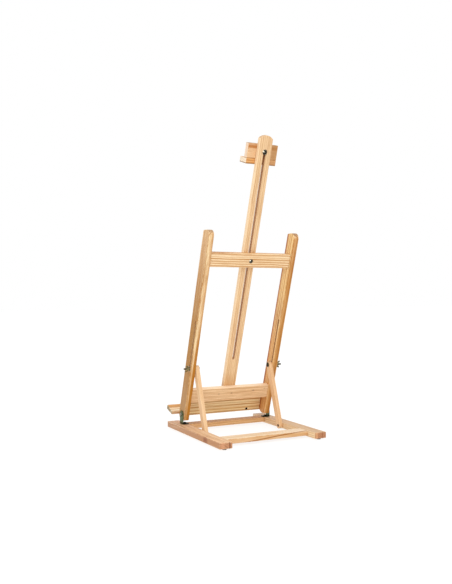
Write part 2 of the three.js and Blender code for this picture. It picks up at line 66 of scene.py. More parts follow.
def at_lean(x, o, s):
    """leaning frame: o forward of the uprights' rear plane, s up the frame"""
    return at_base(x, 59.8 + s * SL - o * CL, s * CL + o * SL)


DIR_S = Vector((0, SL, CL))
DIR_O = Vector((0, -CL, SL))
PIVOT_Y, PIVOT_Z = 59.8 + 38.5 * SL - 14.5 * CL, 38.5 * CL + 14.5 * SL
BOLT_Y, BOLT_Z = 59.8 + 172.4 * SL - 8 * CL, 172.4 * CL + 8 * SL
STRUT_Y, STRUT_Z = 159.0, 8.0
STRUT_LEN = math.hypot(BOLT_Y - STRUT_Y, BOLT_Z - STRUT_Z)
TH = math.atan2(STRUT_Y - BOLT_Y, BOLT_Z - STRUT_Z)
DIR_T = Vector((0, -math.sin(TH), math.cos(TH)))      # up the strut
DIR_W = Vector((0, math.cos(TH), math.sin(TH)))       # across it, to the rear


def at_strut(x, v, t):
    return at_base(x, STRUT_Y, STRUT_Z) + DIR_W * (v * MM) + DIR_T * (t * MM)


# ------------------------------------------------------------- mesh building
class Build:
    """vertices with the material's attributes, and faces"""

    def __init__(self):
        self.co, self.grain, self.wear, self.faces = [], [], [], []

    def vert(self, p, g=(0, 0, 0), w=0.0):
        self.co.append(Vector(p))
        self.grain.append(g)
        self.wear.append(w)
        return len(self.co) - 1

    def mesh(self, name, gdir=(0, 0, 1), sharp=None):
        me = bpy.data.meshes.new(name)
        me.from_pydata([tuple(c) for c in self.co], [], self.faces)
        me.update()
        bm = bmesh.new()
        bm.from_mesh(me)
        bmesh.ops.recalc_face_normals(bm, faces=bm.faces)
        for f in bm.faces:
            f.smooth = True
        if sharp is not None:
            for e in bm.edges:
                if len(e.link_faces) == 2 and e.calc_face_angle(0) > math.radians(sharp):
                    e.smooth = False
        bm.to_mesh(me)
        bm.free()
        a = me.attributes.new("gpos", "FLOAT_VECTOR", "POINT")
        a.data.foreach_set("vector", [c for g in self.grain for c in g])
        a = me.attributes.new("gdir", "FLOAT_VECTOR", "POINT")
        a.data.foreach_set("vector", list(gdir) * len(self.co))
        a = me.attributes.new("wear", "FLOAT", "POINT")
        a.data.foreach_set("value", self.wear)
        return me


def corner_ring(corners, e):
    """a closed outline of corners (u, v, radius, steps), moved e to its left"""
    out, n = [], len(corners)
    for i, (u, v, r, steps) in enumerate(corners):
        p = Vector((u, v))
        a = (p - Vector(corners[i - 1][:2])).normalized()
        b = (Vector(corners[(i + 1) % n][:2]) - p).normalized()
        na, nb = Vector((-a.y, a.x)), Vector((-b.y, b.x))
        q = p + (na + nb) * (e / (1 + na.dot(nb)))
        cross, dot = a.x * b.y - a.y * b.x, a.dot(b)
        turn = math.atan2(cross, dot)
        if steps == 0 or r <= 0:
            out.append(q)
            continue
        rr = max(r - e if cross > 0 else r + e, 0.03)
        start = q - a * (rr * math.tan(abs(turn) / 2))
        c = start + (na if cross > 0 else -na) * rr
        d = start - c
        for k in range(steps + 1):
            t = turn * k / steps
            out.append(c + Vector((d.x * math.cos(t) - d.y * math.sin(t), d.x * math.sin(t) + d.y * math.cos(t))))
    return out


def circle(u, v, r, n, clockwise=False):
    pts = [(u + r * math.cos(2 * math.pi * k / n), v + r * math.sin(2 * math.pi * k / n), 0, 0) for k in range(n)]
    return pts[::-1] if clockwise else pts


def stadium(u, v0, v1, r, n=10, clockwise=False):
    """round-ended outline along v, from end to end"""
    pts = [(u + r * math.cos(math.pi * k / n), v1 - r + r * math.sin(math.pi * k / n), 0, 0) for k in range(n + 1)]
    pts += [(u - r * math.cos(math.pi * k / n), v0 + r - r * math.sin(math.pi * k / n), 0, 0) for k in range(n + 1)]
    return pts[::-1] if clockwise else pts


def plate(name, loops, w0, w1, place, grain, gdir, bevel=0.8, seg=3, sup=0.9, edge_wear=1.0, hole_bevel=0.4, burnt=0.5):
    """a board: the first loop is its outline (counter-clockwise), the others are
    holes (clockwise).  Its edges are rounded by bevel, in mm."""
    m = Build()
    profiles = []
    for li in range(len(loops)):
        b = bevel if li == 0 else hole_bevel
        s = sup if li == 0 else 0.35
        half = []
        for k in range(seg + 1):
            f = math.pi / 2 * k / seg
            half.append((b * (1 - math.sin(f)), b * (1 - math.cos(f)), 1.0 if 0 < k < seg else 0.75))
        # from the cap inwards to the wall: (inset, depth from the cap, edge value: wear and painted highlight)
        seq = [(b + s, 0.0, 0.0)] + half + [(0.0, b + s, 0.0 if li == 0 else -burnt)]
        profiles.append(seq)
    caps = [[], []]
    for li, loop in enumerate(loops):
        seq = profiles[li]
        full = [(e, w0 + d, wr) for e, d, wr in seq] + [(e, w1 - d, wr) for e, d, wr in reversed(seq)]
        rings = []
        for e, w, wr in full:
            pts = corner_ring(loop, e)
            rings.append([m.vert(place(p.x, p.y, w), grain(p.x, p.y, w), wr * edge_wear) for p in pts])
        n = len(rings[0])
        for a, b in zip(rings, rings[1:]):
            for i in range(n):
                j = (i + 1) % n
                m.faces.append((a[i], a[j], b[j], b[i]))
        first, last = full[0], full[-1]
        caps[0].append((corner_ring(loop, first[0]), rings[0]))
        caps[1].append((corner_ring(loop, last[0]), rings[-1]))
    for side in caps:
        flat = [v for pts, ids in side for v in ids]
        tris = tessellate_polygon([[Vector((p.x, p.y, 0)) for p in pts] for pts, ids in side])
        for t in tris:
            m.faces.append(tuple(flat[i] for i in t))
    return m.mesh(name, gdir)


def lathe(points, segs, place, close=True):
    """turn (r, h) points, from one end of the axis to the other; place maps
    (a, b, h) to the row frame"""
    m = Build()
    rings = []
    for r, h in points:
        if r < 1e-6:
            rings.append([m.vert(place(0, 0, h), (0, 0, h / 10))])
        else:
            rings.append([m.vert(place(r * math.cos(2 * math.pi * k / segs), r * math.sin(2 * math.pi * k / segs), h),
                                 (r * math.cos(2 * math.pi * k / segs) / 10, r * math.sin(2 * math.pi * k / segs) / 10, h / 10)) for k in range(segs)])
    for a, b in zip(rings, rings[1:]):
        for i in range(segs):
            j = (i + 1) % segs
            if len(a) == 1 and len(b) == 1:
                continue
            if len(a) == 1:
                m.faces.append((a[0], b[i], b[j]))
            elif len(b) == 1:
                m.faces.append((a[i], a[j], b[0]))
            else:
                m.faces.append((a[i], a[j], b[j], b[i]))
    if close and len(rings[0]) > 1 and len(rings[-1]) > 1:
        a, b = rings[-1], rings[0]
        for i in range(segs):
            j = (i + 1) % segs
            m.faces.append((a[i], a[j], b[j], b[i]))
    return m


def rounded_profile(pts, n=3):
    """(r, h, radius) corners of an open profile to points, arcs at corners"""
    out = []
    for i, (r, h, rad) in enumerate(pts):
        if rad <= 0 or i in (0, len(pts) - 1):
            out.append((r, h))
            continue
        p = Vector((r, h))
        a = (Vector(pts[i - 1][:2]) - p)
        b = (Vector(pts[i + 1][:2]) - p)
        half = math.acos(max(-1, min(1, a.normalized().dot(b.normalized())))) / 2
        t = min(rad / math.tan(half), a.length * 0.49, b.length * 0.49)
        s, e = p + a.normalized() * t, p + b.normalized() * t
        for k in range(n + 1):
            f = k / n
            q = s * (1 - f) ** 2 + p * (2 * f * (1 - f)) + e * f ** 2
            out.append((max(q.x, 0), q.y))
    return out


def threaded(r, pitch, h0, h1, segs, place, depth=0.32, plain_from=None, plain_to=None, chamfer=0.5):
    """a rod with a helical thread, as one closed skin along h"""
    m = Build()
    step = pitch / 4
    n = max(2, int(round((h1 - h0) / step)))
    rings = []
    for i in range(n + 1):
        h = h0 + (h1 - h0) * i / n
        ring = []
        for k in range(segs):
            f = (h / pitch - k / segs) % 1.0
            d = depth * (1 - abs(2 * f - 1))
            if plain_from is not None and plain_from <= h <= plain_to:
                d = 0
            rr = r - d
            lim = r - depth + min(1.0, min(h - h0, h1 - h) / chamfer) * depth
            rr = min(rr, lim)
            c, s = math.cos(2 * math.pi * k / segs), math.sin(2 * math.pi * k / segs)
            ring.append(m.vert(place(rr * c, rr * s, h), (rr * c / 10, rr * s / 10, h / 10)))
        rings.append(ring)
    for a, b in zip(rings, rings[1:]):
        for i in range(segs):
            j = (i + 1) % segs
            m.faces.append((a[i], a[j], b[j], b[i]))
    for ring, h in ((rings[0], h0), (rings[-1], h1)):
        c = m.vert(place(0, 0, h), (0, 0, h / 10))
        for i in range(segs):
            m.faces.append((ring[i], ring[(i + 1) % segs], c))
    return m


def merge(*parts):
    m = Build()
    for p in parts:
        k = len(m.co)
        m.co += p.co
        m.grain += p.grain
        m.wear += p.wear
        m.faces += [tuple(i + k for i in f) for f in p.faces]
    return m


def axes(origin, a, b, c):
    """place function for local (a, b, c) mm from an origin in metres"""
    return lambda x, y, z: origin + (a * x + b * y + c * z) * MM


def temp_object(me):
    o = bpy.data.objects.new(me.name, me)
    bpy.context.scene.collection.objects.link(o)
    return o


def evaluated(o, name):
    dg = bpy.context.evaluated_depsgraph_get()
    me = bpy.data.meshes.new_from_object(o.evaluated_get(dg), preserve_all_data_layers=True, depsgraph=dg)
    me.name = name
    return me


def cut(me, *cutters):
    """boolean difference, applied"""
    o = temp_object(me)
    tools = [temp_object(c) for c in cutters]
    for t in tools:
        mod = o.modifiers.new("cut", "BOOLEAN")
        mod.operation, mod.solver, mod.object = "DIFFERENCE", "EXACT", t
    out = evaluated(o, me.name + "_cut")
    for t in [o] + tools:
        bpy.data.objects.remove(t)
    bm = bmesh.new()
    bm.from_mesh(out)
    bmesh.ops.remove_doubles(bm, verts=bm.verts, dist=1e-6)
    for e in bm.edges:
        e.smooth = not (len(e.link_faces) == 2 and e.calc_face_angle(0) > math.radians(32))
    for f in bm.faces:
        f.smooth = True
    bm.to_mesh(out)
    bm.free()
    return out


def with_attributes(me, scale=100.0, gdir=(0, 0, 1)):
    """gives a mesh that came out of a modifier the attributes the materials read"""
    for a in ("gpos", "gdir", "wear"):
        if a in me.attributes:
            me.attributes.remove(me.attributes[a])
    a = me.attributes.new("gpos", "FLOAT_VECTOR", "POINT")
    a.data.foreach_set("vector", [c * scale for v in me.vertices for c in v.co])
    a = me.attributes.new("gdir", "FLOAT_VECTOR", "POINT")
    a.data.foreach_set("vector", list(gdir) * len(me.vertices))
    me.attributes.new("wear", "FLOAT", "POINT")
    return me


def show(name, me, material, body, node):
    o = bpy.data.objects.new(name, me)
    bpy.context.scene.collection.objects.link(o)
    me.materials.clear()
    me.materials.append(material)
    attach(o, body)
    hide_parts(node)
    return o


# ----------------------------------------------------------------- materials
class Tree:
    def __init__(self, name):
        self.mat = bpy.data.materials.new(name)
        self.mat.use_nodes = True
        self.t = self.mat.node_tree
        self.t.nodes.clear()
        self.out = self.t.nodes.new("ShaderNodeOutputMaterial")
        self.bsdf = self.t.nodes.new("ShaderNodeBsdfPrincipled")
        self.t.links.new(self.bsdf.outputs[0], self.out.inputs[0])

    def link(self, a, b):
        self.t.links.new(a, b)

    def put(self, sock, v):
        if isinstance(v, bpy.types.NodeSocket):
            self.t.links.new(v, sock)
        else:
            sock.default_value = v

    def attr(self, name, vector=False):
        n = self.t.nodes.new("ShaderNodeAttribute")
        n.attribute_name = name
        return n.outputs["Vector" if vector else "Fac"]

    def m(self, op, a, b=None, c=None, clamp=False):
        n = self.t.nodes.new("ShaderNodeMath")
        n.operation, n.use_clamp = op, clamp
        self.put(n.inputs[0], a)
        if b is not None:
            self.put(n.inputs[1], b)
        if c is not None:
            self.put(n.inputs[2], c)
        return n.outputs[0]

    def v(self, op, a, b=None, scale=None):
        n = self.t.nodes.new("ShaderNodeVectorMath")
        n.operation = op
        self.put(n.inputs[0], a)
        if b is not None:
            self.put(n.inputs[1], b)
        if scale is not None:
            self.put(n.inputs["Scale"], scale)
        return n.outputs["Value" if op in ("DOT_PRODUCT", "LENGTH") else 0]

    def split(self, vec):
        n = self.t.nodes.new("ShaderNodeSeparateXYZ")
        self.link(vec, n.inputs[0])
        return n.outputs[0], n.outputs[1], n.outputs[2]

    def join(self, x, y, z):
        n = self.t.nodes.new("ShaderNodeCombineXYZ")
        for s, v in zip(n.inputs, (x, y, z)):
            self.put(s, v)
        return n.outputs[0]

    def noise(self, vec, scale=1.0, detail=2.0, rough=0.5, dims="3D"):
        n = self.t.nodes.new("ShaderNodeTexNoise")
        n.noise_dimensions = dims
        n.inputs["Scale"].default_value = scale
        n.inputs["Detail"].default_value = detail
        n.inputs["Roughness"].default_value = rough
        if dims == "1D":
            self.link(vec, n.inputs["W"])
        else:
            self.link(vec, n.inputs["Vector"])
        return n.outputs["Fac"]

    def smooth(self, v, lo, hi, a=0.0, b=1.0):
        n = self.t.nodes.new("ShaderNodeMapRange")
        n.interpolation_type = "SMOOTHSTEP"
        self.put(n.inputs["Value"], v)
        for k, x in (("From Min", lo), ("From Max", hi), ("To Min", a), ("To Max", b)):
            n.inputs[k].default_value = x
        return n.outputs[0]

    def mix(self, f, a, b, mode="MIX"):
        n = self.t.nodes.new("ShaderNodeMix")
        n.data_type, n.blend_type, n.clamp_factor = "RGBA", mode, True
        self.put(n.inputs[0], f)
        for s, v in ((n.inputs[6], a), (n.inputs[7], b)):
            self.put(s, v if isinstance(v, bpy.types.NodeSocket) else (*v, 1.0))
        return n.outputs[2]

    def bump(self, height, distance, strength):
        n = self.t.nodes.new("ShaderNodeBump")
        n.inputs["Strength"].default_value = strength
        n.inputs["Distance"].default_value = distance
        self.link(height, n.inputs["Height"])
        self.link(n.outputs[0], self.bsdf.inputs["Normal"])


def lin(h):
    """#rrggbb to linear"""
    out = []
    for k in (1, 3, 5):
        c = int(h[k:k + 2], 16) / 255
        out.append(c / 12.92 if c <= 0.04045 else ((c + 0.055) / 1.055) ** 2.4)
    return tuple(out)


def pine(name, light, dark, end="#b98a5e", pith=(0.4, -6.0), slope=(0.0, 0.0), spacing=0.42, contrast=0.75, warp=0.35,
         seed=0.0, knots=(), bands=None, drift=0.5, tint="#e6a879", dull=0.0, rough=0.5, fibre=1.0, streaks=0.45, tone_and_painted_light=()):
    """solid pine: rings round a pith that runs along the board, with fibres,
    resin ducts, knots, end grain, and edges with grime and a painted highlight.  gpos is in cm: x along the
    grain, y across the width, z through the thickness.  bands repaint layers:
    (axis, position, colour, width, weight[, x from, x to, weight there, weight
    there]...), and the over-grain list does it over the grain.  Both carry wood tones and, on some boards, painted
    shade and painted highlights.  An axis (a, b) is z - a x - b y."""
    t = Tree(name)
    g = t.v("ADD", t.attr("gpos", True), (seed * 3.1, 0.0, 0.0))
    x, y, z = t.split(t.attr("gpos", True))
    slow = t.noise(t.v("MULTIPLY", g, (0.045, 0.25, 0.25)), 1.0, 2.0, 0.5)
    mid = t.noise(t.v("MULTIPLY", t.v("ADD", g, (7.3, 1.7, 4.1)), (0.22, 1.1, 1.1)), 1.0, 2.0, 0.5)
    wob = t.m("ADD", t.m("MULTIPLY", t.m("SUBTRACT", slow, 0.5), warp * 2.0), t.m("MULTIPLY", t.m("SUBTRACT", mid, 0.5), warp * 0.45))
    yy = t.m("SUBTRACT", t.m("SUBTRACT", y, pith[0]), t.m("MULTIPLY", x, slope[0]))
    zz = t.m("SUBTRACT", t.m("SUBTRACT", z, pith[1]), t.m("MULTIPLY", x, slope[1]))
    r = t.m("SQRT", t.m("ADD", t.m("MULTIPLY", yy, yy), t.m("MULTIPLY", zz, zz)))
    r = t.m("ADD", r, wob)
    heart = None
    for kx, ky, kz, kr, strength in knots:
        dx = t.m("MULTIPLY", t.m("SUBTRACT", x, kx), 0.75)
        dy = t.m("SUBTRACT", y, ky)
        dz = t.m("MULTIPLY", t.m("SUBTRACT", z, kz), 0.25)
        d = t.m("SQRT", t.m("ADD", t.m("ADD", t.m("MULTIPLY", dx, dx), t.m("MULTIPLY", dy, dy)), t.m("MULTIPLY", dz, dz)))
        push = t.smooth(d, kr * 0.4, kr * 4.5, 1.0, 0.0)
        r = t.m("ADD", r, t.m("MULTIPLY", push, kr * 1.4))
        jag = t.m("ADD", d, t.m("MULTIPLY", t.m("SUBTRACT", t.noise(g, 9.0, 2.0), 0.5), kr * 0.5))
        k = t.m("MULTIPLY", t.smooth(jag, kr * 0.35, kr * 1.15, 1.0, 0.0), strength)
        halo = t.m("MULTIPLY", t.smooth(d, kr * 0.9, kr * 3.2, 1.0, 0.0), strength * 0.35)
        k = t.m("MAXIMUM", k, halo)
        heart = k if heart is None else t.m("MAXIMUM", heart, k)
    # ring width varies from year to year
    yearly = t.noise(t.m("ADD", t.m("MULTIPLY", r, 0.9 / spacing), seed), 0.45, 1.0, 0.5, "1D")
    ph = t.m("ADD", t.m("DIVIDE", r, spacing), t.m("MULTIPLY", yearly, 1.5))
    saw = t.m("FRACT", ph)
    late = t.m("MULTIPLY", t.smooth(saw, 0.32, 0.86), t.smooth(saw, 0.93, 1.0, 1.0, 0.0))
    year = t.noise(t.m("FLOOR", ph), 3.7, 0.0, 0.5, "1D")
    late = t.m("MULTIPLY", late, t.m("ADD", 0.45, t.m("MULTIPLY", year, 1.0)), clamp=True)
    # fibres and resin ducts
    fine = t.noise(t.v("MULTIPLY", g, (1.6, 34.0, 34.0)), 1.0, 3.0, 0.6)
    coarse = t.noise(t.v("MULTIPLY", t.v("ADD", g, (1.0, 5.0, 2.0)), (0.35, 7.0, 7.0)), 1.0, 3.0, 0.55)
    streak = t.noise(t.v("MULTIPLY", t.v("ADD", g, (9.0, 2.0, 6.0)), (0.10, 1.9, 1.9)), 1.0, 3.0, 0.6)
    duct = t.smooth(t.noise(t.v("MULTIPLY", g, (2.2, 48.0, 48.0)), 1.0, 1.0, 0.4), 0.66, 0.74)
    tc = t.t.nodes.new("ShaderNodeTexCoord")
    face = t.smooth(t.m("ABSOLUTE", t.v("DOT_PRODUCT", t.attr("gdir", True), tc.outputs["Normal"])), 0.45, 0.85)
    L, D = lin(light), lin(dark)
    col = t.mix(t.m("MULTIPLY", t.smooth(t.noise(t.v("MULTIPLY", t.v("ADD", g, (3.0, 9.0, 1.0)), (0.06, 0.35, 0.35)), 1.0, 2.0), 0.35, 0.7), drift), L, lin(tint))
    def layer(col, axis, p, c, wdt, weight, *fade):
        if isinstance(axis, tuple):
            pos = t.m("SUBTRACT", t.m("SUBTRACT", z, t.m("MULTIPLY", x, axis[0])), t.m("MULTIPLY", y, axis[1]))
        else:
            pos = {"x": x, "y": y, "z": z}[axis]
        if wdt > 0.12:
            pos = t.m("ADD", pos, t.m("MULTIPLY", t.m("SUBTRACT", slow, 0.5), 0.22))
            pos = t.m("ADD", pos, t.m("MULTIPLY", t.m("SUBTRACT", coarse, 0.5), 0.08))
        w = t.smooth(t.m("ABSOLUTE", t.m("SUBTRACT", pos, p)), wdt * 0.55, wdt * 1.25, weight, 0.0)
        # a fade runs along x unless an axis letter stands before it
        while fade:
            along = x
            if isinstance(fade[0], str):
                along, fade = {"x": x, "y": y, "z": z}[fade[0]], fade[1:]
            w, fade = t.m("MULTIPLY", w, t.smooth(along, *fade[:4])), fade[4:]
        return t.mix(w, col, lin(c))

    if bands:
        for band in bands:
            col = layer(col, *band)
    col = t.mix(t.m("MULTIPLY", late, contrast, clamp=True), col, D)
    col = t.mix(t.m("MULTIPLY", t.smooth(streak, 0.45, 0.72), streaks), col, D)
    col = t.mix(t.m("MULTIPLY", t.smooth(streak, 0.28, 0.5, 1.0, 0.0), streaks * 0.6), col, tuple(min(1.0, c * 1.12) for c in L))
    col = t.mix(t.m("MULTIPLY", t.smooth(coarse, 0.35, 0.7), 0.30 * fibre), col, D)
    col = t.mix(t.m("MULTIPLY", t.smooth(fine, 0.42, 0.78), 0.26 * fibre), col, tuple(c * 0.72 for c in D))
    col = t.mix(t.m("MULTIPLY", duct, 0.35 * fibre), col, tuple(c * 0.45 for c in D))
    if heart is not None:
        col = t.mix(heart, col, lin("#5a2f17"))
    # end grain drinks the finish and darkens, with the rings still showing
    speck = t.noise(t.v("MULTIPLY", g, (20.0, 60.0, 60.0)), 1.0, 2.0, 0.6)
    endc = t.mix(t.m("MULTIPLY", late, 0.55), lin(end), tuple(c * 0.55 for c in lin(end)))
    endc = t.mix(t.m("MULTIPLY", t.smooth(speck, 0.45, 0.75), 0.35), endc, tuple(c * 0.5 for c in lin(end)))
    col = t.mix(t.m("MULTIPLY", face, 0.9), col, endc)
    # over the grain: wood tones, and on some boards painted shade and painted highlights
    for band in tone_and_painted_light:
        col = layer(col, *band)
    # edges: a painted highlight along the arrises in broken patches, and a little grime
    wear = t.attr("wear")
    scorch = t.smooth(wear, -1.0, 0.0, 0.9, 0.0)
    wear = t.m("MAXIMUM", wear, 0.0)
    blot = t.noise(t.v("MULTIPLY", g, (0.9, 3.0, 3.0)), 1.0, 3.0, 0.6)
    col = t.mix(t.m("MULTIPLY", wear, t.smooth(blot, 0.42, 0.6, 0.0, 0.42)), col, tuple(min(1, c * 1.12) for c in L))
    col = t.mix(t.m("MULTIPLY", wear, t.smooth(blot, 0.58, 0.72, 0.0, 0.4)), col, tuple(c * 0.62 for c in D))
    col = t.mix(scorch, col, lin("#8a3f06"))
    t.link(col, t.bsdf.inputs["Base Color"])
    ro = t.m("ADD", t.m("MULTIPLY", fine, 0.16), rough - 0.08)
    ro = t.m("SUBTRACT", ro, t.m("MULTIPLY", late, 0.07))
    ro = t.m("ADD", ro, t.m("MULTIPLY", face, 0.2))
    ro = t.m("SUBTRACT", ro, t.m("MULTIPLY", wear, 0.06))
    ro = t.m("ADD", ro, t.m("MULTIPLY", scorch, 0.6), clamp=True)
    t.link(ro, t.bsdf.inputs["Roughness"])
    t.bsdf.inputs["Specular IOR Level"].default_value = 0.34
    h = t.m("ADD", t.m("MULTIPLY", fine, 0.6), t.m("MULTIPLY", late, 0.5))
    h = t.m("SUBTRACT", h, t.m("MULTIPLY", duct, 0.8))
    t.bump(h, 0.00006, 0.55)
    return t.mat


def metal(name, base, dark, rough=0.35, metallic=1.0, patina=0.5, brushed=(6.0, 6.0, 60.0), scratch=0.35, grime_and_shade="#1d1913", bump=0.4):
    t = Tree(name)
    g = t.attr("gpos", True)
    cloud = t.noise(g, 2.6, 4.0, 0.6)
    fine = t.noise(t.v("MULTIPLY", g, brushed), 1.0, 3.0, 0.6)
    spot = t.noise(g, 14.0, 3.0, 0.65)
    col = t.mix(t.m("MULTIPLY", t.smooth(cloud, 0.35, 0.7), patina), lin(base), lin(dark))
    col = t.mix(t.m("MULTIPLY", t.smooth(fine, 0.4, 0.8), scratch), col, tuple(c * 0.6 for c in lin(base)))
    col = t.mix(t.smooth(spot, 0.6, 0.78, 0.0, 0.55), col, lin(grime_and_shade))
    # the per-vertex edge value pulls the colour to the dark grime colour: painted shade at the bracket's foot
    col = t.mix(t.m("MULTIPLY", t.attr("wear"), 0.8, clamp=True), col, lin(grime_and_shade))
    t.link(col, t.bsdf.inputs["Base Color"])
    t.bsdf.inputs["Metallic"].default_value = metallic
    ro = t.m("ADD", t.m("MULTIPLY", fine, 0.22), rough - 0.1)
    ro = t.m("ADD", ro, t.m("MULTIPLY", t.smooth(spot, 0.5, 0.8), 0.2))
    t.link(ro, t.bsdf.inputs["Roughness"])
    t.bump(t.m("ADD", t.m("MULTIPLY", fine, 0.5), t.m("MULTIPLY", spot, 0.5)), 0.00004, bump)
    return t.mat


def rubber(name, base):
    t = Tree(name)
    g = t.attr("gpos", True)
    n1, n2 = t.noise(g, 30.0, 4.0, 0.7), t.noise(g, 3.0, 2.0, 0.5)
    col = t.mix(t.smooth(n1, 0.35, 0.7), lin(base), tuple(c * 0.55 for c in lin(base)))
    col = t.mix(t.m("MULTIPLY", n2, 0.3), col, lin("#a6a29b"))
    t.link(col, t.bsdf.inputs["Base Color"])
    t.link(t.m("ADD", t.m("MULTIPLY", n1, 0.15), 0.78), t.bsdf.inputs["Roughness"])
    t.bump(n1, 0.0001, 0.6)
    return t.mat


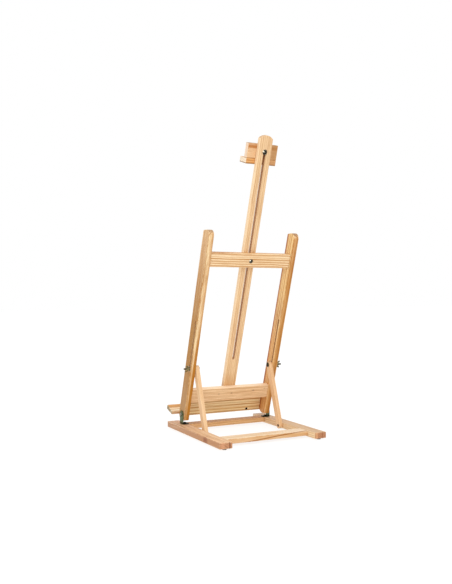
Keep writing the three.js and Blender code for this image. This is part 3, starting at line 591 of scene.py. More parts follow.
MAT = {
    # upright_left: the dark orange strip along the inner face's front arris (y 1.56 and 1.52) is painted shade on the
    # round-over
    "upright_left": pine("pine_upright_left", "#ffdba4", "#a8621a", end="#b88d66", pith=(-5.0, -3.4), slope=(0.006, 0.003), spacing=0.7,
                         contrast=1.0, warp=0.4, seed=1.0, tint="#e0a665", streaks=0.55,
                         bands=[("y", 1.56, "#a4560e", 0.46, 0.95, "z", -0.7, -0.4, 1.0, 0.0), ("y", -1.42, "#f8d6a6", 0.2, 0.8), ("y", 0.5, "#f3cb98", 0.3, 0.5), ("y", -1.72, "#d39653", 0.07, 0.6), ("z", -0.77, "#ffe2a6", 0.1, 0.85)],
                         tone_and_painted_light=[("z", -0.77, "#e08c1c", 0.1, 0.34, -6.0, 6.0, 1.0, 0.0), ("z", -0.77, "#ffd284", 0.1, 0.3, 0.0, 14.0, 0.0, 1.0), ("y", 1.52, "#a04c06", 0.46, 0.9, "z", -0.7, -0.4, 1.0, 0.0), ("y", 0.78, "#b06a22", 0.1, 0.6), ("y", 0.18, "#b06a22", 0.09, 0.5), ("y", -1.72, "#bd7f26", 0.09, 0.35, 6.0, 24.0, 1.0, 0.35)], fibre=1.4),
    # upright_right: the brown and dull bands on the outer face (z 0.77), stronger lower down, are painted shade
    "upright_right": pine("pine_upright_right", "#ffe0b0", "#b0702a", end="#c29a72", pith=(4.6, 3.4), slope=(-0.004, 0.003), spacing=0.5,
                          contrast=0.7, warp=0.35, seed=2.2, tint="#ecc088",
                          bands=[("z", -0.85, "#b9761a", 0.72, 0.9, -22.0, 20.0, 1.0, 0.35), ((-0.045, 0.0), -1.15, "#be7a12", 1.2, 0.95, -8.0, 4.0, 1.0, 0.0), ("z", 0.36, "#ffe6b6", 0.3, 0.85), ("z", 0.77, "#ac7a38", 0.09, 0.85, 8.0, 24.0, 1.0, 0.15)],
                          tone_and_painted_light=[("z", 0.77, "#a46e08", 0.1, 0.52, -22.0, -9.0, 0.25, 1.0, 0.0, 9.0, 1.0, 0.0), ("y", -1.73, "#c07e00", 0.1, 0.27, -20.0, -6.0, 1.0, 0.0), ("z", 0.77, "#b39a78", 0.1, 0.3, -24.0, -10.0, 1.0, 0.0), ("z", -0.62, "#b87408", 0.3, 0.5, -18.0, 4.0, 1.0, 0.0)], fibre=1.6),
    "rail_left": pine("pine_rail_left", "#e0bc90", "#b98a5c", end="#b97a52", pith=(4.0, -3.5), slope=(0.01, 0.0), spacing=0.46, contrast=0.55, seed=3.4, tint="#dcb78e",
                      bands=[("z", -1.72, "#fbdfb2", 0.1, 0.85, 18.0, 27.0, 0.3, 1.0)],
                      tone_and_painted_light=[("x", 0.0, "#cfc6ba", 2.2, 0.4), ("z", 0.5, "#8a4c28", 0.16, 0.55, 31.5, 31.9, 0.0, 1.0), ("z", -1.2, "#e8b07c", 0.3, 0.5, 31.5, 31.9, 0.0, 1.0)]),
    # rail_right: the darker band on the outer face (z 1.73) is painted shade
    "rail_right": pine("pine_rail_right", "#f7d4ac", "#bb8354", end="#c0835a", pith=(-4.2, 3.5), slope=(-0.008, 0.0), spacing=0.46, contrast=0.55, seed=4.6, tint="#e5b184",
                       knots=[(23.9, 0.0, 1.7, 0.28, 0.8)], bands=[("z", 1.73, "#a56d44", 0.09, 0.8)],
                       tone_and_painted_light=[("z", -0.95, "#6e3a1c", 0.2, 0.75, 31.5, 31.9, 0.0, 1.0), ("z", 0.9, "#d99e76", 0.5, 0.5, 31.5, 31.9, 0.0, 1.0), ("z", 1.74, "#8f4f2a", 0.1, 0.55, 22.6, 23.2, 0.0, 1.0, 24.9, 25.6, 1.0, 0.0)]),
    "front_bar": pine("pine_front_bar", "#ddb07c", "#ad7238", end="#a87850", pith=(4.5, -4.0), slope=(0.02, 0.0), spacing=0.5, contrast=0.7, seed=5.1, tint="#dfad79"),
    "rear_bar": pine("pine_rear_bar", "#ffefd2", "#c58a4e", end="#a87850", pith=(-7.5, -3.0), slope=(0.02, 0.0), spacing=0.62, contrast=0.55, warp=0.4, seed=6.3, tint="#f6d8ae", streaks=0.2,
                     tone_and_painted_light=[("y", 1.95, "#cc8e42", 0.1, 0.6), ((-0.079, 0.5), -1.05, "#a05c16", 0.15, 0.85, 7.0, 10.0, 1.0, 0.2), ("z", -0.6, "#b8701f", 0.11, 0.7)]),
    "upper": pine("pine_upper", "#fbe0b6", "#bf8240", end="#a87850", pith=(-7.0, 2.2), slope=(0.010, 0.0), spacing=0.56, contrast=0.95, warp=0.3, seed=7.9, tint="#efca98", streaks=0.25,
                  tone_and_painted_light=[("y", 1.86, "#a8642a", 0.14, 0.85, 3.0, 9.0, 0.0, 1.0), ("y", 1.9, "#d9a468", 0.1, 0.5)]),
    # lower crossbar: the light top face (y 1.87) is a painted highlight, the darker bottom edge (y -1.8) painted shadow
    "lower": pine("pine_lower", "#f2cfa3", "#b87f48", end="#a87850", pith=(5.5, -2.4), slope=(0.012, 0.01), spacing=0.45, contrast=0.6, warp=0.3, seed=8.4, tint="#e3b98a",
                  tone_and_painted_light=[("y", 1.87, "#ffe3c0", 0.12, 0.8), ("y", -1.8, "#c98a44", 0.1, 0.5)],
                  knots=[(-6.9, 0.5, -0.5, 0.13, 0.85), (-0.2, 0.2, -0.5, 0.11, 0.8), (3.6, 0.1, -0.5, 0.1, 0.8), (-10.4, 0.9, -0.5, 0.08, 0.7)]),
    # ledge: the dark band at y 1.6, just under the lower crossbar, is its painted shadow; the other bands and lines are
    # grain
    "ledge": pine("pine_ledge", "#ffeebc", "#bd7a26", end="#a87850", pith=(4.2, -2.6), slope=(0.012, 0.0), spacing=0.75, contrast=0.6, warp=0.35, seed=9.7, tint="#f6d49c", streaks=0.25, fibre=0.7,
                  bands=[("y", 1.6, "#b06a14", 0.34, 0.9), ("y", 0.65, "#ffeab6", 0.34, 0.8), ("y", -0.75, "#ffeebc", 0.36, 0.8), ("y", -2.5, "#ffeab4", 0.55, 0.8)],
                  tone_and_painted_light=[("y", 1.0, "#b87420", 0.13, 0.75), ("y", 0.05, "#ae6a1c", 0.16, 0.75), ("y", -1.4, "#b4701f", 0.15, 0.7), ("y", -2.3, "#bf8030", 0.12, 0.5), ("y", -3.25, "#bd7c2c", 0.2, 0.6)]),
    "tray": pine("pine_tray", "#ffefcc", "#c07a30", end="#97805c", pith=(-3.0, -3.0), slope=(0.0, 0.0), spacing=0.6, contrast=0.7, warp=0.25, seed=10.9, tint="#f0c590", streaks=0.3,
                 tone_and_painted_light=[("z", 0.64, "#cd871f", 0.11, 0.75), ("z", -0.62, "#c08040", 0.12, 0.6), ("y", -1.1, "#fff4da", 0.2, 0.6)]),
    # mast: the light band on the side face (y 1.84) is a painted highlight
    "mast": pine("pine_mast", "#f1cfa1", "#bd8750", end="#dcb68e", pith=(4.6, -2.2), slope=(0.0015, 0.0), spacing=0.5, contrast=0.5, warp=0.22, seed=12.2, tint="#e8bf92", streaks=0.38,
                 tone_and_painted_light=[("y", 1.84, "#fce3be", 0.12, 0.55), ("x", -33.5, "#c08236", 5.0, 0.28)]),
    "guide": pine("pine_guide", "#edc294", "#bd7f48", pith=(3.0, -3.0), seed=13.0),
    # clamp plate: the darker rear face at x -3.4 to -0.8 is the mast's painted shadow, and the strong orange in the
    # middle, behind the mast slot, is a painted warm tone for the shade there
    "clamp_plate": pine("pine_clamp_plate", "#edc698", "#b66f2c", end="#f8dcc0", pith=(-1.0, 6.0), slope=(0.0, 0.0), spacing=0.9, contrast=0.5, warp=0.2, seed=14.4, tint="#eabf90",
                        knots=[(4.2, 0.45, -0.35, 0.07, 0.6)], streaks=0.3,
                        bands=[("y", 1.7, "#f4cfa4", 0.4, 0.8), ("y", 0.95, "#bf752a", 0.36, 0.8), ("y", -1.8, "#a0601f", 0.1, 0.7)],
                        tone_and_painted_light=[("z", -0.69, "#b27f48", 0.1, 0.75, -3.4, -0.8, 1.0, 0.0), ("y", 1.84, "#8a6238", 0.05, 0.7),
                               ("z", -0.69, "#b8500a", 0.1, 1.0, -1.4, -0.7, 0.0, 1.0, 0.7, 1.4, 1.0, 0.0)]),
    "clamp_lip": pine("pine_clamp_lip", "#edb774", "#b8691f", end="#fdebd0", pith=(-1.0, 3.4), spacing=0.55, contrast=0.6, warp=0.25, seed=15.1, tint="#e3a76c",
                      tone_and_painted_light=[("z", 0.0, "#c08f62", 2.0, 0.65, -2.6, -1.0, 1.0, 0.0), ("z", -0.74, "#7c5016", 0.28, 0.8)]),
    "strut_left": pine("pine_strut_left", "#e7c196", "#d19a63", end="#d8b48a", pith=(4.2, 4.0), spacing=0.46, contrast=0.5, seed=16.6, tint="#efc292"),
    # strut_right: the greyish band on the side face next to the upright (z 0.51) is painted shade
    "strut_right": pine("pine_strut_right", "#eecda2", "#d6a06a", end="#d8b48a", pith=(-4.5, 4.4), spacing=0.46, contrast=0.5, seed=17.8, tint="#f4cfa2",
                        bands=[("z", 0.51, "#dbbb93", 0.06, 0.7)]),
    "beech": pine("beech_dowel", "#d8b07c", "#b08a5c", pith=(0.0, -3.0), spacing=0.2, contrast=0.25, seed=18.0),
    "zinc": metal("zinc_plate", "#76825c", "#3e4830", rough=0.42, patina=0.7),
    "zinc_screw": metal("zinc_screw", "#a8a698", "#6e6c60", rough=0.36),
    "dark_screw": metal("dark_screw", "#41362a", "#1f1810", rough=0.45),
    "bright": metal("bright_steel", "#cfc8b4", "#8f8875", rough=0.14, patina=0.35, scratch=0.2, bump=0.15),
    "dull": metal("dull_steel", "#4f4836", "#241e10", rough=0.3),
    "wing": metal("wing_nut", "#b3a473", "#4a3e26", rough=0.34, metallic=0.6, patina=0.75, brushed=(18.0, 18.0, 18.0), bump=0.8),
    "stud": metal("stud_steel", "#857c62", "#3a3426", rough=0.36, metallic=0.75, patina=0.7),
    "pivot": metal("pivot_screw_oxide", "#5a3116", "#281407", rough=0.55, metallic=0.7, patina=0.7),
    "foot": rubber("rubber_foot", "#75726e"),
}

# ---------------------------------------------------------------- the boards
RAIL = lambda r=3.0, w=34, l=320: [(-w / 2, 0, r, 4), (w / 2, 0, r, 4), (w / 2, l, r, 4), (-w / 2, l, r, 4)]
for side, q in (("left", -1), ("right", 1)):
    cx = q * 133.0
    me = plate(f"rail_{side}_m", [RAIL()], 0, 15,
               lambda u, v, w, cx=cx: at_base(cx + u, v, w),
               lambda u, v, w, q=q: (v / 10 - 0.0, w / 10 - 0.75, u * q / 10), (0, 1, 0), bevel=1.1, seg=4)
    show(f"rail_{side}_board", me, MAT[f"rail_{side}"], "base", f"rail_{side}")

for nm, y0, y1, key, slot in (("front", 37, 71, "front_bar", "pine_rail"), ("rear", 250, 288, "rear_bar", "pine_board")):
    c = (y0 + y1) / 2
    me = plate(f"bar_{nm}_m", [[(-115.7, y0, 0.6, 2), (115.7, y0, 0.6, 2), (115.7, y1, 0.6, 2), (-115.7, y1, 0.6, 2)]], 3, 15,
               lambda u, v, w: at_base(u, v, w),
               lambda u, v, w, c=c: (u / 10, (v - c) / 10, (w - 9) / 10), (1, 0, 0), bevel=0.9, seg=4)
    show(f"base_crossbar_{nm}_board", me, MAT[key], "base", f"base_crossbar_{nm}")

# uprights: outline in (-o, s)
level = lambda z, o: (z - o * SL) / CL
for side, q in (("left", -1), ("right", 1)):
    out = [(0, level(25.5, 0), 2, 4), (0, level(522, 0), 14, 11), (-34, level(522, 34), 3, 5), (-34, level(25.5, 34), 15, 10)]
    hole = stadium(-8, 168.6, 305.6, 3.2, 10, clockwise=True)
    me = plate(f"upright_{side}_m", [out, hole], 116.3, 131.3,
               lambda u, v, w, q=q: at_lean(q * w, -u, v),
               lambda u, v, w, q=q: (v / 10 - 28, -u / 10 - 1.7, (w - 123.8) / 10), tuple(DIR_S), bevel=0.9, seg=4, sup=0.7, hole_bevel=0.35)
    show(f"upright_{side}_board", me, MAT[f"upright_{side}"], "frame", f"upright_{side}")


def lean_board(name, x0, x1, s0, s1, o0, o1, mat, body, node, holes=(), r=0.6, bevel=0.9, along="x"):
    cs, co = (s0 + s1) / 2, (o0 + o1) / 2
    if along == "x":
        grain = lambda u, v, w: (u / 10, (v - cs) / 10, (w - co) / 10)
        gdir = (1, 0, 0)
    else:
        grain = lambda u, v, w: ((v - cs) / 10, u / 10, (w - co) / 10)
        gdir = tuple(DIR_S)
    out = [(x0, s0, r, 3), (x1, s0, r, 3), (x1, s1, r, 3), (x0, s1, r, 3)]
    me = plate(name + "_m", [out] + list(holes), o0, o1, lambda u, v, w: at_lean(u, w, v), grain, gdir, bevel=bevel, seg=4)
    return show(name, me, mat, body, node)


lean_board("crossbar_upper_board", -116, 116, 450.2, 487.2, 2.5, 16.5, MAT["upper"], "frame", "crossbar_upper",
           holes=[circle(0, 467.4, 2.9, 20, True)])
lean_board("crossbar_lower_board", -116, 116, 76.3, 113.3, 2.5, 16.5, MAT["lower"], "frame", "crossbar_lower")
lean_board("ledge_board_board", -125, 125, 22.5, 92.5, 34.3, 45.3, MAT["ledge"], "frame", "ledge_board",
           holes=[circle(qq * 120.1, s, 3.9, 20, True) for qq in (-1, 1) for s in (50, 68)] + [circle(xx, 28.4, 3.7, 20, True) for xx in (-76, 56)])
for side, x0, x1 in (("left", -30, -18.6), ("right", 18.6, 30)):
    lean_board(f"mast_guide_{side}_board", x0, x1, 77.3, 100.3, 16.8, 33.9, MAT["guide"], "frame", f"mast_guide_{side}", along="s")

# canvas tray: section in (-o, s), its length along x
y0, y1 = -45.6, -81.6
lip = y1 + 11.5
sec = [(y1, 24, 1.6, 4), (y0, 24, 0.8, 3), (y0, 32.8, 0.8, 3), (lip + 1.6, 32.8, 1.2, 3), (lip, 36.2, 1.2, 3), (y1 + 2, 36.2, 1.2, 3), (y1, 34.2, 1.2, 3)]
me = plate("canvas_tray_m", [sec], -147, 147, lambda u, v, w: at_lean(w, -u, v),
           lambda u, v, w: (w / 10, (-u - 63.6) / 10, (v - 30) / 10), (1, 0, 0), bevel=0.45, seg=3, sup=0.35)
show("canvas_tray_board", me, MAT["tray"], "frame", "canvas_tray")

# mast
h = 785.4 - 777
R = (18 ** 2 + h ** 2) / (2 * h)
a = math.asin(18 / R)
top = [(R * math.sin(a - 2 * a * i / 16), 785.4 - R + R * math.cos(a - 2 * a * i / 16), 0, 0) for i in range(1, 16)]
out = [(-18, 84, 0.8, 3), (18, 84, 0.8, 3), (18, 777, 2.0, 4)] + top + [(-18, 777, 2.0, 4)]
me = plate("mast_m", [out, stadium(0, 189, 747.5, 3.6, 10, clockwise=True)], 16.9, 28.9, lambda u, v, w: at_lean(u, w, v),
           lambda u, v, w: ((v - 430) / 10, u / 10, (w - 22.9) / 10), tuple(DIR_S), bevel=0.9, seg=4, hole_bevel=0.3, burnt=0.42)
show("mast_board", me, MAT["mast"], "mast", "mast")

# clamp
me = lean_board("clamp_plate_board", -42.5, 42.5, 725.6, 762.4, 29.2, 42.7, MAT["clamp_plate"], "clamp", "clamp_plate",
                holes=[circle(0, 744, 2.9, 20, True)])
out = [(-42.5, -63.2, 1.0, 3), (42.5, -63.2, 1.0, 3), (42.5, -29.2, 0.6, 3), (-42.5, -29.2, 0.6, 3)]
holes = [circle(x, -35.95, 3.8, 20, True) for x in (-30, 30)]
me = plate("clamp_lip_m", [out] + holes, 711.2, 725.3, lambda u, v, w: at_lean(u, -v, w),
           lambda u, v, w: (u / 10, (-v - 46.2) / 10, (w - 718.2) / 10), (1, 0, 0), bevel=0.9, seg=4)
show("clamp_lip_board", me, MAT["clamp_lip"], "clamp", "clamp_lip")

# struts, in their own plane
for side, q in (("left", -1), ("right", 1)):
    out = stadium(0, -8.25, STRUT_LEN + 8.25, 8.25, 14)
    holes = [circle(0, 0, 3.7, 18, True), circle(0, STRUT_LEN, 2.75, 18, True)]
    me = plate(f"strut_{side}_m", [out] + holes, 105.6, 115.6,
               lambda u, v, w, q=q: at_strut(q * w, u, v),
               lambda u, v, w: ((v - 80) / 10, u / 10, (w - 110.6) / 10), tuple(DIR_T), bevel=0.8, seg=4, sup=0.7, hole_bevel=0.3)
    show(f"strut_{side}_board", me, MAT[f"strut_{side}"], f"strut_{side}_arm", f"strut_{side}")

# ------------------------------------------------------------- feet, brackets
for side, q in (("left", -1), ("right", 1)):
    for end, y in (("front", 10), ("rear", 310)):
        prof = rounded_profile([(0, 0, 0), (5.25, 0, 0.7), (5.0, 3.0, 0.5), (0, 3.0, 0)], 4)
        m = lathe(prof, 28, axes(at_base(q * 133, y, -3.3), Vector((1, 0, 0)), Vector((0, 1, 0)), Vector((0, 0, 1))))
        show(f"foot_{end}_{side}_pad", m.mesh(f"foot_{end}_{side}_m"), MAT["foot"], "base", f"foot_{end}_{side}")

rng = random.Random(7)


def cross_recess(origin, a, b, c, size, depth, spin):
    """the two tapered bars of a cross, from above the head (c points out of it)"""
    bars = []
    for k in range(2):
        m = Build()
        t = spin + k * math.pi / 2
        u, v = a * math.cos(t) + b * math.sin(t), b * math.cos(t) - a * math.sin(t)
        ids = []
        for (l, w, hgt) in ((size, size * 0.26, 1.0), (size * 0.45, size * 0.16, -depth)):
            ids.append([m.vert(origin + (u * (sx * l) + v * (sy * w) + c * hgt) * MM) for sx, sy in ((1, 1), (-1, 1), (-1, -1), (1, -1))])
        top_, bot = ids
        m.faces += [tuple(top_), tuple(reversed(bot))] + [(top_[i], bot[i], bot[(i + 1) % 4], top_[(i + 1) % 4]) for i in range(4)]
        bars.append(m.mesh(f"bar_{k}"))
    return bars


def screw_head(name, origin, c, r, hgt, kind, shank_r, shank_len, material, body, node, recess=True):
    """head standing on origin, out along c, and the shank below it"""
    a = Vector((1, 0, 0)) if abs(c.x) < 0.5 else Vector((0, 0, 1))
    a = (a - c * a.dot(c)).normalized()
    b = c.cross(a)
    place = axes(origin, a, b, c)
    if kind == "pan":
        prof = [(shank_r, -0.05, 0), (shank_r, 0, 0), (r * 0.96, 0, 0.12), (r, 0.5, 0.3), (r * 0.9, hgt * 0.72, 0.9), (r * 0.45, hgt, 1.4), (0, hgt, 0)]
    else:
        prof = [(shank_r, -0.05, 0), (shank_r, 0, 0), (r * 0.98, hgt - 0.35, 0.2), (r, hgt - 0.12, 0.1), (r * 0.97, hgt, 0.1), (0, hgt, 0)]
    tip = [(0, -shank_len), (shank_r * 0.25, -shank_len + 0.3), (shank_r * 0.9, -shank_len + 4)]
    pts = tip
    n, pitch = int((shank_len - 6) / 0.45), 1.8
    for i in range(n):
        f = (i * 0.45 / pitch) % 1.0
        pts.append((shank_r * (0.74 + 0.26 * (1 - abs(2 * f - 1))), -shank_len + 4.4 + i * 0.45))
    pts += rounded_profile(prof, 4)
    head = lathe(pts, 28, place, close=False).mesh(name + "_m", sharp=38)
    if recess:
        head = with_attributes(cut(head, *cross_recess(origin + c * (hgt * MM), a, b, c, r * 0.56, hgt * 0.62, rng.uniform(0, 3))))
    show(name, head, material, body, node)


for side, q in (("left", -1), ("right", 1)):
    X = Vector((q, 0, 0))
    # bracket: a bent strip with a rounded ear, drawn as a grid over its path
    m = Build()
    xo, z0, t_, w = 133.6, 15.3, 2.0, 9.7
    path = [(115.5, 0, 0)]
    path += [(x, 0, 0) for x in (115.9, 116.8, 119, 123, 127, 130.2)]
    rb = 2.6
    arc = [(xo - rb - 0.0 + rb * math.sin(f), z0 + rb - rb * math.cos(f), f) for f in [math.pi / 2 * k / 7 for k in range(0, 8)]]
    strip = []                                   # (x, z, normal x, normal z, half width)
    for x in (115.5, 115.7, 116.3, 117.5, 119, 122, 126, 129.5):
        hw = w - (2.2 - math.sqrt(max(0, 2.2 ** 2 - (2.2 - min(2.2, x - 115.5)) ** 2)))
        strip.append((x, z0, 0.0, -1.0, hw))
    for x, z, f in arc:
        strip.append((x, z, math.sin(f), -math.cos(f), w))
    zc = 51.0 - w
    for k in range(1, 7):
        strip.append((xo, z0 + rb + (zc - z0 - rb) * k / 6, 1.0, 0.0, w))
    for k in range(1, 13):
        f = math.pi / 2 * k / 12
        strip.append((xo, zc + w * math.sin(f) * 0.9999, 1.0, 0.0, max(w * math.cos(f), 0.25)))
    rings = []
    for x, z, nx, nz, hw in strip:
        ring = []
        e = 0.3
        for (d, sgn) in ((e, -1), (0, -1), (0, 1), (e, 1), (t_ - e, 1), (t_, 1), (t_, -1), (t_ - e, -1)):
            yy = hw if d in (e, t_ - e) else hw - e
            if hw < 0.6:
                yy = hw * (1.0 if d in (e, t_ - e) else 0.6)
            p = at_base(q * (x - nx * d), PIVOT_Y + sgn * yy, z - nz * d)
            ring.append(m.vert(p, (sgn * yy / 10, x / 10 + z / 10, d / 10), 1.0 if d in (e, t_ - e) else 0.4))
        rings.append(ring)
    for r0, r1 in zip(rings, rings[1:]):
        for i in range(8):
            j = (i + 1) % 8
            m.faces.append((r0[i], r0[j], r1[j], r1[i]))
    m.faces.append(tuple(rings[0]))
    m.faces.append(tuple(rings[-1]))
    me = m.mesh(f"bracket_{side}_m", sharp=40)
    tool = lathe([(0, -8), (2.8, -8), (2.8, 8), (0, 8)], 24, axes(at_base(q * 132.6, PIVOT_Y, PIVOT_Z), Vector((0, 1, 0)), Vector((0, 0, 1)), Vector((1, 0, 0))), close=False).mesh("tool")
    me = with_attributes(cut(me, tool))
    # the foot of the bracket, in the joint under the upright, gets painted shade
    me.attributes["wear"].data.foreach_set("value", [max(0.0, min(1.0, (0.0235 - v.co.z) / 0.003)) for v in me.vertices])
    show(f"bracket_{side}_plate", me, MAT["zinc"], "base", f"bracket_{side}")
    screw_head(f"bracket_screw_{side}_head", at_base(q * 123.5, PIVOT_Y, 17.6), Vector((0, 0, 1)), 4.2, 2.6, "pan", 1.75, 14, MAT["dark_screw"], "base", f"bracket_screw_{side}")
    screw_head(f"pivot_screw_{side}_head", at_base(q * 133.9, PIVOT_Y, PIVOT_Z), X, 4.5, 2.6, "pan", 2.5, 15, MAT["zinc_screw"], "frame", f"pivot_screw_{side}")
    screw_head(f"strut_pivot_{side}_head", at_base(q * 107.6, STRUT_Y, STRUT_Z), -X, 3.6, 2.2, "flat", 2.0, 20, MAT["pivot"], f"base", f"strut_pivot_screw_{side}")
    for i, s in enumerate((50, 68)):
        screw_head(f"ledge_screw_{side}_{i + 1}_head", at_lean(q * 120.1, 43.1, s), DIR_O, 3.6, 2.2, "flat", 1.75, 20, MAT["zinc_screw"], "frame", f"ledge_screw_{side}_{i + 1}")
    screw_head(f"tray_screw_{side}_head", at_lean(-76 if q < 0 else 56, 36.6, 28.4), -DIR_O, 3.4, 1.9, "flat", 1.75, 20, MAT["dark_screw"], "frame", f"tray_screw_{side}")
    screw_head(f"clamp_screw_{side}_head", at_lean(q * 30, 35.95, 713.4), -DIR_S, 3.6, 2.2, "flat", 1.75, 22, MAT["zinc_screw"], "clamp", f"clamp_screw_{side}")


# ------------------------------------------------------- bolts, washers, nuts
def dome(r, hgt, n=10):
    """carriage bolt head's profile from the rim to the crown"""
    R_ = (r * r + hgt * hgt) / (2 * hgt)
    a_ = math.asin(min(1, r / R_))
    pts = [(r - 0.35, 0.0), (r - 0.1, 0.12), (r, 0.35)]
    for k in range(1, n + 1):
        f = a_ * (1 - k / n)
        pts.append((R_ * math.sin(f) * (r - 0.0) / r, hgt - R_ + R_ * math.cos(f) + 0.0))
    pts = [(p, max(z, 0.35)) if i > 2 else (p, z) for i, (p, z) in enumerate(pts)]
    return pts


def carriage_bolt(name, origin, c, r, length, thread_from, material, body, node):
    """head out along c from origin; shank and thread the other way"""
    a = Vector((1, 0, 0)) if abs(c.x) < 0.5 else Vector((0, 1, 0))
    a = (a - c * a.dot(c)).normalized()
    b = c.cross(a)
    place = axes(origin, a, b, c)
    m = Build()
    segs = 28
    prof = dome(r, 3.2)
    rings = []
    # thread, shank, neck and head as one skin
    n = int(length / 0.2)
    for i in range(n + 1):
        hh = -length + length * i / n
        ring = []
        for k in range(segs):
            f = (hh / 0.8 - k / segs) % 1.0
            d = 0.3 * (1 - abs(2 * f - 1)) if hh < -thread_from else 0.0
            rr = min(2.5 - d, 2.1 + min(1.0, (hh + length) / 0.6) * 0.4)
            cc, ss = math.cos(2 * math.pi * k / segs), math.sin(2 * math.pi * k / segs)
            ring.append(m.vert(place(rr * cc, rr * ss, hh), (rr * cc / 10, rr * ss / 10, hh / 10)))
        rings.append(ring)
    for (rr, hh) in prof:
        if rr < 1e-4:
            rings.append([m.vert(place(0, 0, hh), (0, 0, hh / 10))])
        else:
            rings.append([m.vert(place(rr * math.cos(2 * math.pi * k / segs), rr * math.sin(2 * math.pi * k / segs), hh),
                                 (rr * math.cos(2 * math.pi * k / segs) / 10, rr * math.sin(2 * math.pi * k / segs) / 10, hh / 10)) for k in range(segs)])
    for r0, r1 in zip(rings, rings[1:]):
        for i in range(segs):
            j = (i + 1) % segs
            if len(r1) == 1:
                m.faces.append((r0[i], r0[j], r1[0]))
            else:
                m.faces.append((r0[i], r0[j], r1[j], r1[i]))
    tip = m.vert(place(0, 0, -length), (0, 0, -length / 10))
    for i in range(segs):
        m.faces.append((rings[0][(i + 1) % segs], rings[0][i], tip))
    show(name, m.mesh(name + "_m", sharp=50), material, body, node)


def washer(name, origin, c, material, body, node):
    a = Vector((1, 0, 0)) if abs(c.x) < 0.5 else Vector((0, 1, 0))
    a = (a - c * a.dot(c)).normalized()
    b = c.cross(a)
    pts = [(2.8, 0.15), (2.95, 0.0), (6.3, 0.0), (6.46, 0.1), (6.5, 0.3), (6.5, 0.7), (6.42, 0.92), (6.25, 1.0), (2.95, 1.0), (2.8, 0.85)]
    show(name, lathe(pts, 36, axes(origin, a, b, c)).mesh(name + "_m", sharp=50), material, body, node)


def wing_nut_mesh(name, origin, c, a):
    """cast wing nut: conical hub and two ears, fused and softened"""
    b = c.cross(a)
    place = axes(origin, a, b, c)
    hub = lathe(rounded_profile([(0, 0, 0), (5.1, 0, 0.3), (5.1, 1.2, 0.5), (4.0, 6.4, 0.7), (0, 6.6, 0)], 4), 40, place, close=False)
    parts = [hub]
    for sgn in (1, -1):
        m = Build()
        # ear: cross-sections swept from the hub outwards and up
        secs = [(2.2, 3.6, 5.0, 1.9), (4.2, 4.0, 5.4, 1.55), (6.0, 5.0, 5.2, 1.25), (7.6, 6.6, 4.9, 1.1), (8.9, 8.2, 4.4, 1.05), (9.8, 9.2, 3.2, 1.0)]
        rings = []
        for (cx_, cz_, hh, th) in secs:
            ring = []
            for k in range(16):
                f = 2 * math.pi * k / 16
                du, dv = math.cos(f), math.sin(f)
                # lean of the section with the ear's direction
                ring.append(m.vert(place(sgn * (cx_ - dv * hh * 0.22), du * th, cz_ + dv * hh * 0.5)))
            rings.append(ring)
        for r0, r1 in zip(rings, rings[1:]):
            for i in range(16):
                j = (i + 1) % 16
                m.faces.append((r0[i], r0[j], r1[j], r1[i]))
        m.faces.append(tuple(rings[0]))
        m.faces.append(tuple(rings[-1]))
        parts.append(m)
    whole = merge(*parts).mesh(name + "_raw")
    o = temp_object(whole)
    mod = o.modifiers.new("fuse", "REMESH")
    mod.mode, mod.voxel_size, mod.adaptivity = "VOXEL", 0.00033, 0.0
    sm = o.modifiers.new("soft", "SMOOTH")
    sm.factor, sm.iterations = 0.5, 5
    fused = evaluated(o, name + "_fused")
    bpy.data.objects.remove(o)
    tool = lathe([(0, -2), (2.78, -2), (2.78, 12), (0, 12)], 28, place, close=False).mesh("tool")
    me = cut(fused, tool)
    me = with_attributes(me)
    for v in me.vertices:
        v.co = v.co
    return me


# mast bolt, washer and nut
carriage_bolt("mast_bolt_steel", at_lean(0, 2.2, 467.4), -DIR_O, 5.6, 44, 20, MAT["bright"], "frame", "mast_bolt")
washer("mast_washer_steel", at_lean(0, 29.2, 467.4), DIR_O, MAT["bright"], "frame", "mast_washer")
show("wingnut_mast_cast", wing_nut_mesh("wn_mast", at_lean(0, 30.5, 467.4), DIR_O, Vector((1, 0, 0))), MAT["wing"], "nut_mast", "wingnut_mast")
carriage_bolt("clamp_bolt_steel", at_lean(0, 16.6, 744), -DIR_O, 6.7, 43, 20, MAT["bright"], "clamp", "clamp_bolt")
washer("clamp_washer_steel", at_lean(0, 43.0, 744), DIR_O, MAT["bright"], "clamp", "clamp_washer")
show("wingnut_clamp_cast", wing_nut_mesh("wn_clamp", at_lean(0, 44.3, 744), DIR_O, Vector((1, 0, 0))), MAT["wing"], "nut_clamp", "wingnut_clamp")
for side, q in (("left", -1), ("right", 1)):
    X = Vector((q, 0, 0))
    o0 = at_lean(0, 8, 172.4)
    at = lambda x: Vector((q * x * MM, o0.y, o0.z))
    # the half of the bolt that rides the strut: head inside, shank to the sliding face
    carriage_bolt(f"strut_bolt_{side}_steel", at(105.3), -X, 6.7, 10.6, 50, MAT["dull"], f"strut_{side}_arm", f"strut_bolt_{side}")
    st = threaded(2.5, 0.8, 0, 30.5, 24, axes(at(116.2), Vector((0, 1, 0)), Vector((0, 0, 1)), X), depth=0.3, plain_from=0, plain_to=10)
    show(f"strut_stud_{side}_steel", st.mesh(f"stud_{side}_m", sharp=60), MAT["stud"], f"stud_{side}", f"strut_stud_{side}")
    washer(f"strut_washer_{side}_steel", at(131.6), X, MAT["bright"], f"stud_{side}", f"strut_washer_{side}")
    # wings along the slot; the right one is turned a little
    ang = -0.15 if q > 0 else 0.0
    wdir = DIR_S * math.cos(ang) + DIR_O * math.sin(ang)
    show(f"wingnut_{side}_cast", wing_nut_mesh(f"wn_{side}", at(132.9), X, wdir), MAT["wing"], f"nut_{side}", f"wingnut_{side}")

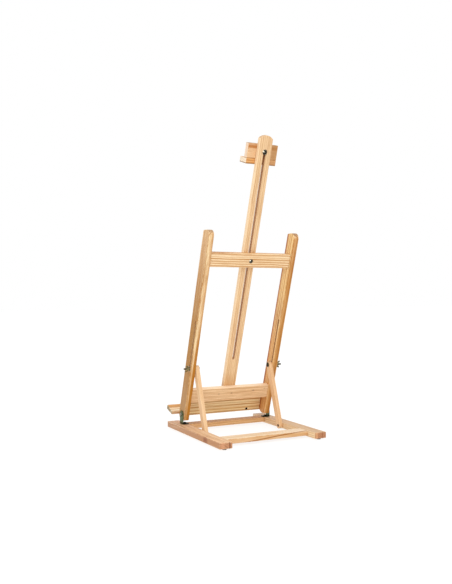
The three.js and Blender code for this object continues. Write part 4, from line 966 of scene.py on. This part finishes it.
# ---------------------------------------- CAD nodes that stay: hidden dowels
for n, o in NODES.items():
    if n.startswith("dowel_"):
        me = o.data
        a = me.attributes.new("gpos", "FLOAT_VECTOR", "POINT")
        a.data.foreach_set("vector", [c * 100 for v in me.vertices for c in v.co])
        a = me.attributes.new("gdir", "FLOAT_VECTOR", "POINT")
        a.data.foreach_set("vector", [1, 0, 0] * len(me.vertices))
        me.attributes.new("wear", "FLOAT", "POINT")
        me.materials.clear()
        me.materials.append(MAT["beech"])

# ------------------------------------------------------------ floor and light
fm = bpy.data.materials.new("floor_pale")
fm.use_nodes = True
b = fm.node_tree.nodes["Principled BSDF"]
b.inputs["Base Color"].default_value = (0.20, 0.20, 0.20, 1)
b.inputs["Emission Color"].default_value = (1, 1, 1, 1)
b.inputs["Emission Strength"].default_value = 0.83
b.inputs["Roughness"].default_value = 0.9
b.inputs["Specular IOR Level"].default_value = 0.1
fme = bpy.data.meshes.new("floor")
S = 12.0
fme.from_pydata([(-S, -S, 0), (S, -S, 0), (S, S, 0), (-S, S, 0)], [], [(0, 1, 2, 3)])
floor = bpy.data.objects.new("floor", fme)
fme.materials.append(fm)
bpy.context.scene.collection.objects.link(floor)
floor.visible_glossy = False


def area(name, loc, target, size, power, colour=(1, 1, 1)):
    d = bpy.data.lights.new(name, "AREA")
    d.shape, d.size, d.energy, d.color = "DISK", size, power, colour
    o = bpy.data.objects.new(name, d)
    bpy.context.scene.collection.objects.link(o)
    o.location = loc
    o.rotation_mode = "QUATERNION"
    o.rotation_quaternion = (Vector(target) - Vector(loc)).to_track_quat("-Z", "Y")
    return o


area("key", (2.0, 2.2, 2.0), (0, 0, 0.4), 1.2, 14)
area("top", (-0.6, 1.2, 3.2), (0, 0, 0.2), 2.2, 12)
area("fill", (0.7, 2.6, 0.5), (0, 0, 0.15), 1.0, 6)

# the studio: white all round; what shines in metal and varnish is a darker room
# with a white wall behind the object and a window-like panel to the left
world = bpy.data.worlds.new("world")
bpy.context.scene.world = world
world.use_nodes = True
wt = world.node_tree
bg = wt.nodes["Background"]
bg.inputs[0].default_value = (1, 1, 1, 1)
tc = wt.nodes.new("ShaderNodeTexCoord")


def lobe(direction, lo, hi, a, b):
    d = wt.nodes.new("ShaderNodeVectorMath")
    d.operation = "DOT_PRODUCT"
    d.inputs[1].default_value = Vector(direction).normalized()
    wt.links.new(tc.outputs["Generated"], d.inputs[0])
    r = wt.nodes.new("ShaderNodeMapRange")
    r.interpolation_type = "SMOOTHSTEP"
    for k, v in (("From Min", lo), ("From Max", hi), ("To Min", a), ("To Max", b)):
        r.inputs[k].default_value = v
    wt.links.new(d.outputs["Value"], r.inputs["Value"])
    return r.outputs[0]


def wmath(op, a, b):
    n = wt.nodes.new("ShaderNodeMath")
    n.operation = op
    for s, v in zip(n.inputs, (a, b)):
        if isinstance(v, bpy.types.NodeSocket):
            wt.links.new(v, s)
        else:
            s.default_value = v
    return n.outputs[0]


wall = lobe((-0.1, -1.0, 0.0), 0.0, 0.5, 0.0, 0.9)
panel = lobe((0.86, 0.50, 0.22), 0.80, 0.90, 0.0, 2.2)
gloss = wmath("ADD", wmath("ADD", wall, panel), 0.06)
lp = wt.nodes.new("ShaderNodeLightPath")
isg = lp.outputs["Is Glossy Ray"]
wt.links.new(wmath("ADD", wmath("MULTIPLY", isg, gloss), wmath("SUBTRACT", 1.0, isg)), bg.inputs["Strength"])
sc = bpy.context.scene
sc.view_settings.view_transform = "Standard"
sc.view_settings.look = "None"
sc.view_settings.exposure = 0.0
sc.view_settings.gamma = 1.0
